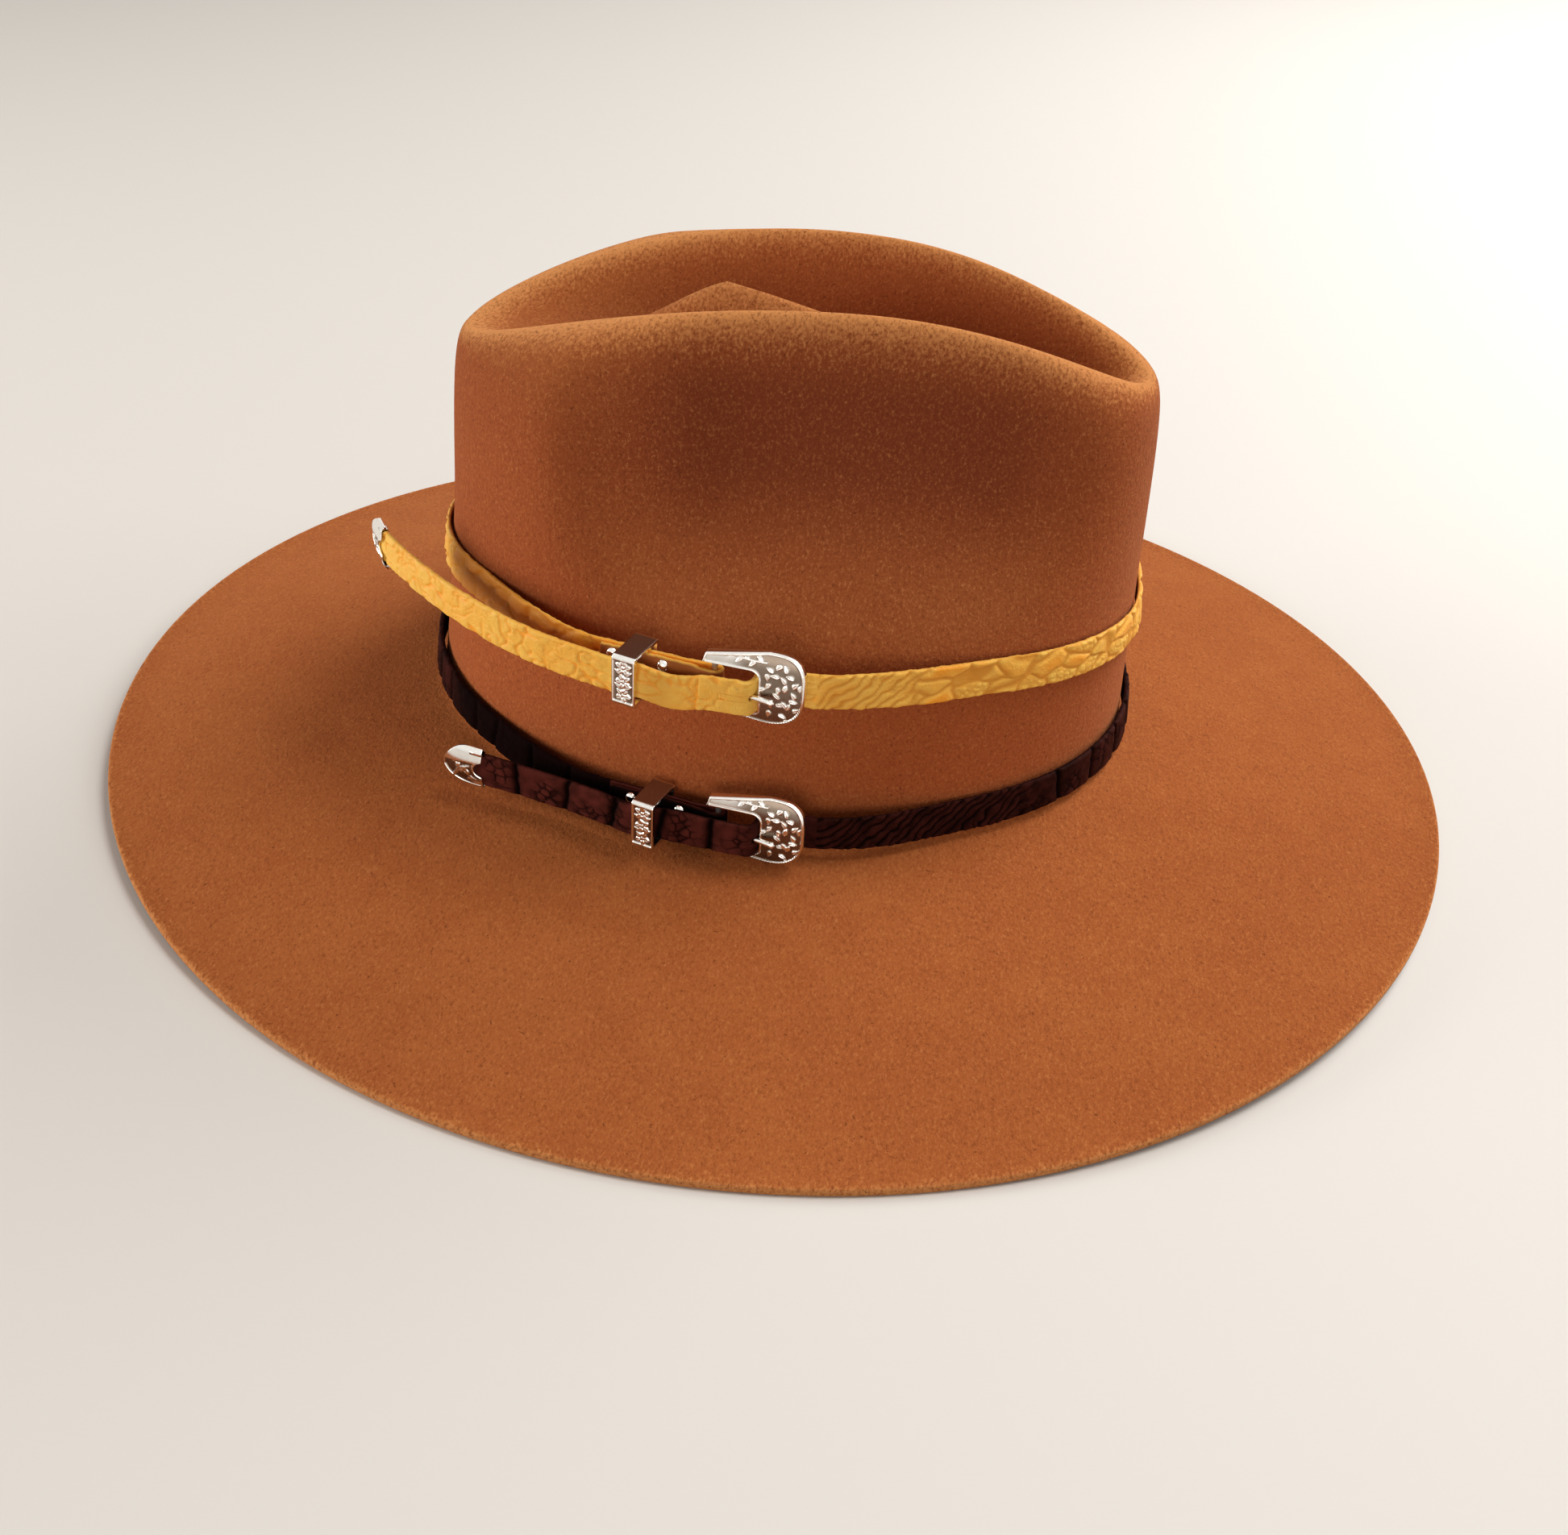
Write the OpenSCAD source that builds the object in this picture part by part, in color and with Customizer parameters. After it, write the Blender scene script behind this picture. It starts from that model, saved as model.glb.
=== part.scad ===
// Wide-brimmed felt hat with a teardrop crease and two buckled leather bands.
// +X is the front of the hat, -Y the side that carries the buckles, +Z up.
// The brim rests on the plane z = 0, and the head opening is centred on the origin.

/* [Felt] */
// Length of the crown oval at the brim, front to back
crown_l = 207; // [196:1:224]
// Width of the crown oval at the brim
crown_w = 173; // [162:1:184]
// Height of the crease rim above the brim, at mid length
crown_h = 129; // [118:1:138]
// Length of the brim, front to back
brim_l = 404; // [380:1:440]
// Width of the brim, side to side
brim_w = 387; // [365:1:420]
// Height of the brim's upper face at the crown, above the rest plane
brim_rise = 22.5; // [14:0.5:30]
// Lift of the brim's edge at the front and the back
edge_lift = 4; // [1:0.5:8]
// Thickness of the felt
felt_t = 2.4; // [1.8:0.1:3]

/* [Crease] */
// Length of the teardrop rim
rim_l = 192; // [184:1:196]
// Width of the teardrop rim at mid length
rim_w = 67; // [60:1:80]
// Drop of the rim from mid length to the back
drop_back = 27.5; // [18:0.5:32]
// Drop of the rim from mid length to the front
drop_front = 19.5; // [12:0.5:24]
// Depth of the moat below the rim at mid length
moat_depth = 29; // [22:1:34]
// Length of the moat
moat_l = 134; // [120:1:150]
// Width of the moat
moat_w = 34; // [26:1:40]
// Height of the ridge's peak above the moat
peak_h = 21; // [12:1:24]

/* [Straps] */
// Width of both leather straps
strap_w = 11; // [9:0.5:11.5]
// Thickness of both leather straps
strap_t = 1.8; // [1.4:0.1:2.2]
// Gap between a strap and the felt
strap_gap = 0.6; // [0.4:0.1:1]
// Height of the upper strap's lower edge above the brim
upper_h = 45; // [34:1:48]
// Gap between the lower buckle and the brim
lower_gap = 0.35; // [0.3:0.05:2]
// Place of the upper buckle's bar, front to back
upper_bar_x = 0.5; // [-6:0.5:8]
// Place of the lower buckle's bar, front to back
lower_bar_x = 3; // [-6:0.5:8]
// Length of the fold behind the bar
fold_l = 31; // [30:0.5:36]

/* [Buckles] */
// Stand-off of the bars from the crown wall at the brim
bar_off = 6; // [5:0.5:8]
// Length of the buckle from the bar to its closed end
buckle_l = 24; // [22:0.5:28]
// Height of the buckle's closed end
buckle_h = 20.1; // [19.5:0.1:24]
// Rise of the buckle's middle above the strap's middle
buckle_up = 2.3; // [0:0.1:2.4]
// Thickness of the buckle at its middle
buckle_t = 3; // [2.6:0.1:3.4]
// Length of the buckle's opening from the bar
opening_l = 12; // [11:0.5:13]
// Free height in the opening above the strap
opening_gap = 1.2; // [0.8:0.1:1.6]
// Diameter of the bar
bar_d = 1.6; // [1.4:0.1:1.8]
// Diameter of the prong
prong_d = 1.5; // [1.2:0.1:1.7]
// Width of the keeper along the strap
keeper_w = 6.4; // [5:0.2:7]
// Thickness of the keeper's walls
keeper_t = 1.1; // [0.8:0.1:1.4]
// Distance of the upper keeper from its bar
upper_keeper_x = 20.5; // [19.5:0.5:22]
// Distance of the lower keeper from its bar
lower_keeper_x = 17.5; // [17:0.5:20]
// Spacing of the two rivets
rivet_pitch = 14; // [13.4:0.2:15]
// Diameter of the rivet heads
rivet_d = 4; // [3:0.2:4.4]
// Length of the metal tip
tip_l = 12.5; // [11:0.5:15]
// Height of the metal tip
tip_h = 12.6; // [12.4:0.2:14]
// Thickness of the metal tip
tip_t = 3.6; // [3.2:0.1:4.4]

/* [Sweatband] */
// Height of the sweatband
sweat_h = 44; // [34:1:46]
// Thickness of the sweatband
sweat_t = 1; // [0.7:0.1:1.4]
// Diameter of the covered reed
reed_d = 2.2; // [1.6:0.1:2.6]
// Width of the ribbon bow
bow_w = 24; // [18:1:28]

/* [Hidden] */
$fn = 48;

// Columns of the felt round the crown, and of the narrow rings inside it
felt_columns = 80;
ring_columns = 72;

// Lean of the crown wall per millimetre of height, at the ends and at the sides
lean_front = 0.035;
lean_back = 0.087;
lean_side = 0.094;
// Height up to which the wall stays straight
wall_h = 57;
// Share of the brim's width that lies flat along its edge
flat_share = 0.06;
// Part of the edge, as a squared cosine, that rests on the plane
rest_share = 0.15;
// Roundness of the teardrop's ends, and its narrowing towards the front
rim_round = 0.85;
rim_taper = 0.27;
// Place of the rim's highest point, as a cosine
rim_mid = 0.215;
// Place of the moat and of the ridge's peak, front to back
moat_x = 8;
peak_x = -22;
// Centre and half width of the side dents, as cosines of the angle round the crown
dent_mid = 0.18;
dent_core = 0.36;
dent_reach = 0.82;

// Stations across the brim, from the edge to the crown
brim_stations = [0, flat_share, 0.25, 0.5, 0.75, 1];
// Outward offset and height of the turn from brim to crown
break_stations = [[5, -1.6], [2.2, -1], [0.6, 0], [0.1, 2.2]];
// Heights on the straight wall
wall_stations = [8, 24, 41, wall_h];
// Inward share and height share from the wall to the rim, on a full wall and in a dent
full_stations = [[0.07, 0.36], [0.19, 0.68], [0.37, 0.885], [0.66, 0.978], [1, 1]];
dent_stations = [[0.50, 0.20], [0.74, 0.44], [0.86, 0.74], [0.93, 0.945], [1, 1]];
// Inward share and drop share from the rim to the moat
fall_stations = [[0.22, 0.07], [0.50, 0.42], [0.78, 0.84], [1, 1]];
// Share of the way from the peak to the moat, and the height share left there
ridge_stations = [[0.75, 0.20], [0.5, 0.48], [0.22, 0.80]];

// Clearances of the moving and the fitted pieces
slide_gap = 0.35;
turn_gap = 0.06;
seat_gap = 0.02;

function mix(a, b, k) = a + (b - a) * k;
function ease(k) = let (c = min(1, max(0, k))) c * c * (3 - 2 * c);
function unit(v) = v / norm(v);
function bezier(p, q, r, s, n) = [
    for (i = [0 : n])
        let (k = i / n, j = 1 - k)
        j * j * j * p + 3 * j * j * k * q + 3 * j * k * k * r + k * k * k * s
];

// Plan of the crown wall at a height above the brim, moved outwards by an offset
function wall(t, h, out = 0) = [
    (crown_l / 2 - (cos(t) < 0 ? lean_back : lean_front) * h + out) * cos(t),
    (crown_w / 2 - lean_side * h + out) * sin(t)
];

// Plan of a teardrop of a given length and width
function teardrop(t, l, w) = [
    l / 2 * cos(t),
    w / 2 * sign(sin(t)) * pow(abs(sin(t)), rim_round) * (1 - rim_taper * cos(t))
];

// Height of the rim, which is highest a little before the middle
function rim_h(t) = let (k = cos(t) - rim_mid)
    crown_h - (k < 0 ? drop_back * pow(k / (1 + rim_mid), 2) : drop_front * pow(k / (1 - rim_mid), 2));
function edge_h(t) = edge_lift * max(0, (pow(cos(t), 2) - rest_share) / (1 - rest_share));
function dent(t) = 1 - ease((abs(cos(t) - dent_mid) - dent_core) / (dent_reach - dent_core));
function raise(p, h) = [p.x, p.y, brim_rise + h];

function brim_column(t) = let (
    edge = [brim_l / 2 * cos(t), brim_w / 2 * sin(t)],
    foot = wall(t, 0, break_stations[0][0]),
    low = felt_t + edge_h(t) - brim_rise,
    high = break_stations[0][1]
) [
    for (f = [for (i = [0 : len(brim_stations) - 2]) brim_stations[i]])
        raise(mix(edge, foot, f), mix(low, high, max(0, f - flat_share) / (1 - flat_share)))
];

function wall_column(t) = concat(
    [for (s = break_stations) raise(wall(t, 0, s[0]), s[1])],
    [for (h = wall_stations) raise(wall(t, h), h)]
);

function crease_column(t) = let (
    top = wall(t, wall_h),
    rim = teardrop(t, rim_l, rim_w),
    moat = [moat_x, 0] + teardrop(t, moat_l, moat_w),
    moat_h = crown_h - moat_depth,
    peak = [peak_x, 0]
) concat(
    [for (i = [0 : len(full_stations) - 1])
        let (s = mix(full_stations[i], dent_stations[i], dent(t)))
        raise(mix(top, rim, s[0]), mix(wall_h, rim_h(t), s[1]))],
    [for (s = fall_stations) raise(mix(rim, moat, s[0]), mix(rim_h(t), moat_h, s[1]))],
    [for (s = ridge_stations) raise(mix(peak, moat, s[0]), moat_h + peak_h * s[1])]
);

felt_outer = [
    for (i = [0 : felt_columns - 1])
        let (t = 360 * i / felt_columns)
        concat(brim_column(t), wall_column(t), crease_column(t))
];
felt_rows = len(felt_outer[0]);
peak_top = raise([peak_x, 0], crown_h - moat_depth + peak_h);

// Direction from the outer face of the felt into it
function felt_inward(i, j) = j < 2 ? [0, 0, -1] : let (
    n = felt_columns,
    along = felt_outer[i][min(j + 1, felt_rows - 1)] - felt_outer[i][j - 1],
    around = felt_outer[(i + 1) % n][j] - felt_outer[(i + n - 1) % n][j]
) unit(cross(along, around));

felt_inner = [
    for (i = [0 : felt_columns - 1])
        [for (j = [0 : felt_rows - 1]) felt_outer[i][j] + felt_t * felt_inward(i, j)]
];

// Skin over rows of points round the hat, closed by a point at each end
module capped_skin(rows, first, last) {
    n = len(rows[0]);
    m = len(rows);
    points = concat([for (row = rows) each row], [first, last]);
    sides = [
        for (j = [0 : m - 2], i = [0 : n - 1])
            let (k = (i + 1) % n)
            each [[j * n + i, j * n + k, j * n + n + k], [j * n + i, j * n + n + k, j * n + n + i]]
    ];
    caps = [
        for (i = [0 : n - 1])
            let (k = (i + 1) % n, top = (m - 1) * n)
            each [[m * n, k, i], [m * n + 1, top + i, top + k]]
    ];
    polyhedron(points, concat(sides, caps));
}

// Skin over rows of points round the hat, whose last row joins the first
module ring_skin(rows) {
    n = len(rows[0]);
    m = len(rows);
    sides = [
        for (j = [0 : m - 1], i = [0 : n - 1])
            let (k = (i + 1) % n, a = j * n, b = (j + 1) % m * n)
            each [[a + i, a + k, b + k], [a + i, b + k, b + i]]
    ];
    polyhedron([for (row = rows) each row], sides);
}

module felt_body() {
    outer_rows = [for (j = [felt_rows - 1 : -1 : 0]) [for (i = [0 : felt_columns - 1]) felt_outer[i][j]]];
    inner_rows = [for (j = [0 : felt_rows - 1]) [for (i = [0 : felt_columns - 1]) felt_inner[i][j]]];
    color("sienna")
        capped_skin(concat(outer_rows, inner_rows), peak_top, peak_top - [0, 0, felt_t]);
}

// Inset of the sweatband's outer face from the outer face of the felt, and its lowest height
sweat_inset = felt_t + slide_gap;
sweat_low = -felt_t;

function inner_ring(inset, h) = [
    for (i = [0 : ring_columns - 1])
        raise(wall(360 * i / ring_columns, max(0, h), -inset), h)
];

module sweatband() {
    high = sweat_low + sweat_h;
    color("saddlebrown")
        ring_skin([
            inner_ring(sweat_inset, sweat_low),
            inner_ring(sweat_inset + sweat_t, sweat_low),
            inner_ring(sweat_inset + sweat_t, high),
            inner_ring(sweat_inset, high)
        ]);
}

module sweatband_reed() {
    sides = 8;
    reed_r = reed_d / 2;
    low = sweat_low - slide_gap - reed_r;
    color("peru")
        ring_skin([
            for (i = [0 : sides - 1])
                let (a = -360 * i / sides)
                inner_ring(sweat_inset + sweat_t / 2 + reed_r * cos(a), low + reed_r * sin(a))
        ]);
}

// Ribbon bow of two loops and a knot, curved to the back of the sweatband
module sweatband_bow() {
    loop_h = bow_w * 0.4;
    knot = bow_w * 0.2;
    ribbon_t = 1;
    bow_h = 9;
    bow_inset = sweat_inset + sweat_t + 2 * slide_gap;
    ring_a = crown_l / 2 - lean_back * bow_h - bow_inset;
    ring_b = crown_w / 2 - lean_side * bow_h - bow_inset;
    shape = [
        [-bow_w / 2, -loop_h / 2], [-knot / 2, -knot / 2], [knot / 2, -knot / 2], [bow_w / 2, -loop_h / 2],
        [bow_w / 2, loop_h / 2], [knot / 2, knot / 2], [-knot / 2, knot / 2], [-bow_w / 2, loop_h / 2]
    ];
    color("black")
        intersection() {
            translate([-crown_l / 2, 0, brim_rise + bow_h])
                rotate([90, 0, 90])
                    linear_extrude(crown_l / 4)
                        polygon(shape);
            linear_extrude(brim_rise + crown_h)
                difference() {
                    polygon([for (i = [0 : ring_columns - 1])
                        let (t = 360 * i / ring_columns) [ring_a * cos(t), ring_b * sin(t)]]);
                    polygon([for (i = [0 : ring_columns - 1])
                        let (t = 360 * i / ring_columns)
                        [(ring_a - ribbon_t) * cos(t), (ring_b - ribbon_t) * sin(t)]]);
                }
        }
}

// Each buckle set is drawn about its bar: u runs forward along the strap, out runs away from the crown.
bar_y = crown_w / 2 + bar_off;
// Height of a rivet's head, and the diameter of its shank
rivet_rise = 1.3;
rivet_shank = 1.6;
// Distance of the two layers of the fold from the plane of the bar
layer_out = strap_t / 2 + seat_gap;
// Radius of the middle of the strap round the bar
wrap_r = bar_d / 2 + turn_gap + strap_t / 2;
// Turn of the fold and of the keeper towards the crown, in degrees
fold_turn = 8;
keeper_turn = 13;
// Distance of the tail from the plane of the bar, in the keeper and over the bar
tail_out = layer_out + strap_t + 2 * slide_gap;
tail_over_bar = wrap_r + strap_t + 0.7;
// Tilt of the buckle's plate away from the crown towards its closed end
plate_tilt = 4;
// Share of the plate's thickness that lies outside the bar
plate_front = 0.56 * buckle_t;
plate_back = buckle_t - plate_front;
dome_r = 45;
// Radii of the opening's two corners at the closed end
low_corner = 1.5;
top_corner = 2.5;
// Strap under the far edge of the opening, and under the closed end
dive_u = opening_l - low_corner / 2;
dive_out = dive_u * tan(plate_tilt) - plate_back - strap_t / 2 - slide_gap - 0.1;
exit_u = buckle_l + 2;
exit_out = dive_out - 2.6;
// Slots for the prong, and the reach of the prong over the closed end
slot_h = prong_d + 1.1;
slot_u = [0.8, 8.8];
prong_u = opening_l + 3.5;

// Height of the lower strap's lower edge above the brim, so that its buckle clears the brim
lower_h = break_stations[0][1] + lower_gap + buckle_h / 2 - buckle_up - strap_w / 2;

function at_bar(bar_x, u, out) = [bar_x + u, -bar_y - out];
// A point of the fold, which is turned about the bar
function at_fold(bar_x, u, out) = at_bar(bar_x,
    u * cos(fold_turn) - out * sin(fold_turn),
    u * sin(fold_turn) + out * cos(fold_turn));

// Run of a strap round the crown from one angle to another, at a height above the brim
function crown_run(h, from, to) = [
    for (i = [0 : 54])
        wall(mix(from, to, i / 54), h, strap_gap + strap_t / 2)
];

// Middle line of a strap in plan: fold, bar, once round the crown, buckle, keeper and tail
function strap_path(bar_x, keeper_x, h, from, to, tail_bend, tail_end, tail_turn) = let (
    run = crown_run(h, from, to),
    last = len(run) - 1,
    in_dir = unit(run[1] - run[0]),
    out_dir = unit(run[last] - run[last - 1]),
    fold_end = at_fold(bar_x, -fold_l, layer_out),
    leave = at_fold(bar_x, -fold_l - 2, -layer_out),
    pass = at_bar(bar_x, exit_u, exit_out),
    dive = at_bar(bar_x, dive_u, dive_out),
    over = at_bar(bar_x, 0, tail_over_bar),
    slope = unit(over - dive),
    free = at_bar(bar_x, -keeper_x - keeper_w, tail_out),
    end_dir = [cos(tail_turn), sin(tail_turn)]
) concat(
    [fold_end],
    bezier(at_fold(bar_x, -8, layer_out), at_fold(bar_x, -5, layer_out),
        at_fold(bar_x, -4, wrap_r), at_fold(bar_x, -0.5, wrap_r), 6),
    [for (i = [0 : 12]) at_fold(bar_x, wrap_r * sin(15 * i), wrap_r * cos(15 * i))],
    bezier(at_fold(bar_x, -0.5, -wrap_r), at_fold(bar_x, -4, -wrap_r),
        at_fold(bar_x, -5, -layer_out), at_fold(bar_x, -8, -layer_out), 6),
    bezier(leave, at_fold(bar_x, -fold_l - 14, -layer_out), run[0] - 20 * in_dir, run[0] - 0.5 * in_dir, 10),
    run,
    bezier(run[last] + 0.5 * out_dir, run[last] + 14 * out_dir, pass + [12, 1.5], pass, 10),
    bezier(pass - [0.5, 0], pass - [6, 0.6], dive - 4 * slope, dive, 6),
    bezier(over, over + 4 * slope, at_bar(bar_x, -8, tail_out), at_bar(bar_x, -12, tail_out), 6),
    bezier(free, free + tail_bend, tail_end - 30 * end_dir, tail_end, 16)
);

// Flat ribbon of leather along a path
module ribbon(path) {
    last = len(path) - 1;
    side = [
        for (i = [0 : last])
            let (d = unit(path[min(i + 1, last)] - path[max(i - 1, 0)]))
            [-d.y, d.x] * strap_t / 2
    ];
    polygon(concat(
        [for (i = [0 : last]) path[i] + side[i]],
        [for (i = [last : -1 : 0]) path[i] - side[i]]
    ));
}

// Slots for the prong: one in the tail over the opening, one in the fold round the bar
module prong_slots(bar_x) {
    wrap = 2 * (wrap_r + strap_t);
    translate([bar_x + slot_u[0], -bar_y - tail_over_bar - 2, -slot_h / 2])
        cube([slot_u[1] - slot_u[0], tail_over_bar + 4, slot_h]);
    translate([bar_x - wrap / 2, -bar_y - wrap / 2, -slot_h / 2])
        cube([wrap, wrap, slot_h]);
}

module rivet_places(bar_x, keeper_x) {
    for (u = [-keeper_x - rivet_pitch / 2, -keeper_x + rivet_pitch / 2])
        translate([bar_x, -bar_y, 0])
            rotate([0, 0, -fold_turn])
                translate([u, 0, 0])
                    rotate([90, 0, 0])
                        children();
}

module strap(path, bar_x, keeper_x, h) {
    translate([0, 0, brim_rise + h + strap_w / 2])
        difference() {
            translate([0, 0, -strap_w / 2])
                linear_extrude(strap_w)
                    ribbon(path);
            prong_slots(bar_x);
            rivet_places(bar_x, keeper_x)
                cylinder(d = rivet_shank + 2 * seat_gap, h = 2 * (strap_t + 3 * seat_gap), center = true);
        }
}

// Lower and upper edge of the buckle's opening, and the depth of the bar's holes in the horns
opening_low = -strap_w / 2 - slide_gap;
opening_high = strap_w / 2 + slide_gap + opening_gap;
bar_seat = 1;

// Outline of the buckle: two tapering horns that meet in a rounded closed end
module buckle_outline() {
    half = buckle_h / 2;
    end_u = buckle_l - half;
    top_square = 0.6;
    low_square = 0.8;
    horn_u = -3;
    top_horn_w = 2.5;
    low_horn_w = 1.3;
    shoulder_u = opening_l - 4;
    top_horn = [
        [horn_u, opening_high + 0.4], [horn_u + 0.7, opening_high + top_horn_w]
    ];
    low_horn = [
        [shoulder_u, buckle_up - half + 0.4], [horn_u + 0.6, opening_low - low_horn_w], [horn_u, opening_low]
    ];
    closed_end = [
        for (i = [0 : 24])
            let (a = 90 - 7.5 * i, square = a > 0 ? top_square : low_square)
            [end_u + half * pow(max(0, cos(a)), square),
                buckle_up + half * sign(sin(a)) * pow(abs(sin(a)), square)]
    ];
    opening = concat(
        [for (a = [-90 : 15 : 0])
            [opening_l + low_corner * (cos(a) - 1), opening_low + low_corner * (1 + sin(a))]],
        [for (a = [0 : 15 : 90])
            [opening_l + top_corner * (cos(a) - 1), opening_high + top_corner * (sin(a) - 1)]]
    );
    polygon(concat(top_horn, closed_end, low_horn, opening));
}

module at_set(bar_x, h) {
    translate([bar_x, -bar_y, brim_rise + h + strap_w / 2])
        children();
}

// Rod across the opening, set into both horns
module bar_rod(d, seat) {
    translate([0, 0, opening_low - seat])
        cylinder(d = d, h = opening_high - opening_low + 2 * seat);
}

module buckle(bar_x, h) {
    at_set(bar_x, h)
        difference() {
            rotate([0, 0, -plate_tilt])
                intersection() {
                    translate([0, plate_back, 0])
                        rotate([90, 0, 0])
                            linear_extrude(buckle_t)
                                buckle_outline();
                    translate([0, dome_r - plate_front, buckle_up])
                        rotate([0, 90, 0])
                            cylinder(r = dome_r, h = 4 * buckle_l, center = true, $fn = 120);
                }
            bar_rod(bar_d + 2 * seat_gap, bar_seat + seat_gap);
        }
}

module bar(bar_x, h) {
    at_set(bar_x, h)
        bar_rod(bar_d, bar_seat);
}

// Prong: a ring on the bar and a ball-ended rod that rests on the edge of the buckle's closed end
module prong(bar_x, h) {
    ring_r = bar_d / 2 + turn_gap + 0.85;
    ball_d = prong_d + 0.3;
    edge_out = opening_l * tan(plate_tilt) + plate_front / cos(plate_tilt);
    rise = atan((edge_out + prong_d / 2 + 3 * turn_gap) / opening_l);
    at_set(bar_x, h)
        difference() {
            union() {
                cylinder(r = ring_r, h = prong_d + 0.3, center = true);
                rotate([0, 90, -rise])
                    cylinder(d = prong_d, h = prong_u / cos(rise));
                translate([prong_u, -prong_u * tan(rise), 0])
                    sphere(d = ball_d);
            }
            cylinder(d = bar_d + 2 * turn_gap, h = 2 * prong_d + 1, center = true);
        }
}

module rounded_box(w, d, r) {
    translate([-w / 2 + r, -d / 2])
        square([w - 2 * r, d]);
    translate([-w / 2, -d / 2 + r])
        square([w, d - 2 * r]);
    for (x = [-1, 1], y = [-1, 1])
        translate([x * (w / 2 - r), y * (d / 2 - r)])
            circle(r);
}

// Keeper: a box loop round the fold and the tail, turned to lie between the two
module keeper(bar_x, keeper_x, h) {
    half_w = keeper_w / 2;
    tail_away = keeper_x * sin(fold_turn) + tail_out * cos(fold_turn);
    inner_back = layer_out + strap_t / 2 + slide_gap + half_w * tan(keeper_turn - fold_turn);
    inner_front = tail_away + strap_t / 2 + 2 * slide_gap + half_w * tan(keeper_turn);
    deep = inner_front + inner_back;
    room_above = 0.6;
    high = strap_w + 2 * slide_gap + room_above;
    at_set(bar_x, h)
        rotate([0, 0, -fold_turn])
            translate([-keeper_x, -(inner_front - inner_back) / 2, room_above / 2])
                rotate([0, 0, fold_turn - keeper_turn])
                    rotate([90, 0, 90])
                        linear_extrude(keeper_w, center = true)
                            difference() {
                                rounded_box(deep + 2 * keeper_t, high + 2 * keeper_t, keeper_t);
                                square([deep, high], center = true);
                            }
}

// Depth of the tip's pocket for the end of the strap, and its clearance
pocket = 3.5;
pocket_gap = 0.2;

module tip_outline() {
    nose = tip_l - pocket;
    half = tip_h / 2;
    arc_r = (nose * nose + half * half) / (2 * half);
    translate([-pocket, -half])
        square([pocket, tip_h]);
    intersection() {
        translate([0, half - arc_r])
            circle(arc_r, $fn = 96);
        translate([0, arc_r - half])
            circle(arc_r, $fn = 96);
        translate([0, -half])
            square([nose, tip_h]);
    }
}

// Tip: a pointed cap over the end of the strap, notched at its back edge
module tip(tail_end, tail_turn, h) {
    tip_dome = 14;
    notch_r = 2.4;
    translate([tail_end.x, tail_end.y, brim_rise + h + strap_w / 2])
        rotate([0, 0, tail_turn])
            difference() {
                intersection() {
                    translate([0, tip_t / 2, 0])
                        rotate([90, 0, 0])
                            linear_extrude(tip_t)
                                tip_outline();
                    for (side = [-1, 1])
                        translate([0, side * (tip_t / 2 - tip_dome), 0])
                            rotate([0, 90, 0])
                                cylinder(r = tip_dome, h = 4 * tip_l, center = true, $fn = 96);
                }
                translate([-pocket - 1, -strap_t / 2 - pocket_gap, -strap_w / 2 - pocket_gap])
                    cube([pocket + 1 + pocket_gap, strap_t + 2 * pocket_gap, strap_w + 2 * pocket_gap]);
                translate([-pocket, 0, 0])
                    rotate([90, 0, 0])
                        cylinder(r = notch_r, h = 2 * tip_t, center = true);
            }
}

// Rivets: a domed head outside the fold, a shank through it and a flat burr behind it
module rivets(bar_x, keeper_x, h) {
    face = layer_out + strap_t / 2 + seat_gap;
    burr_t = slide_gap * 0.6;
    at_set(0, h)
        translate([0, bar_y, 0])
            rivet_places(bar_x, keeper_x) {
                rotate_extrude()
                    polygon(concat(
                        [[0, -face - burr_t], [rivet_d * 0.4, -face - burr_t], [rivet_d * 0.4, -face],
                            [rivet_shank / 2, -face], [rivet_shank / 2, face]],
                        [for (i = [0 : 6])
                            [rivet_d / 2 * cos(15 * i), face + rivet_rise * sin(15 * i)]]
                    ));
            }
}

// Where each strap leaves and meets the crown, and how its tail runs
upper_angles = [222, -48];
lower_angles = [228, -52];
upper_tail_bend = [-28, 8];
lower_tail_bend = [-14, 4.5];
upper_tail_end = at_bar(upper_bar_x, -106.7, -45.7);
lower_tail_end = at_bar(lower_bar_x, -71.5, -7.5);
upper_tail_turn = 120;
lower_tail_turn = 170;

module upper_strap() {
    path = strap_path(upper_bar_x, upper_keeper_x, upper_h + strap_w / 2, upper_angles[0], upper_angles[1],
        upper_tail_bend, upper_tail_end, upper_tail_turn);
    color("goldenrod")
        strap(path, upper_bar_x, upper_keeper_x, upper_h);
}

module lower_strap() {
    path = strap_path(lower_bar_x, lower_keeper_x, lower_h, lower_angles[0], lower_angles[1],
        lower_tail_bend, lower_tail_end, lower_tail_turn);
    color([0.2, 0.08, 0.06])
        strap(path, lower_bar_x, lower_keeper_x, lower_h);
}

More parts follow.
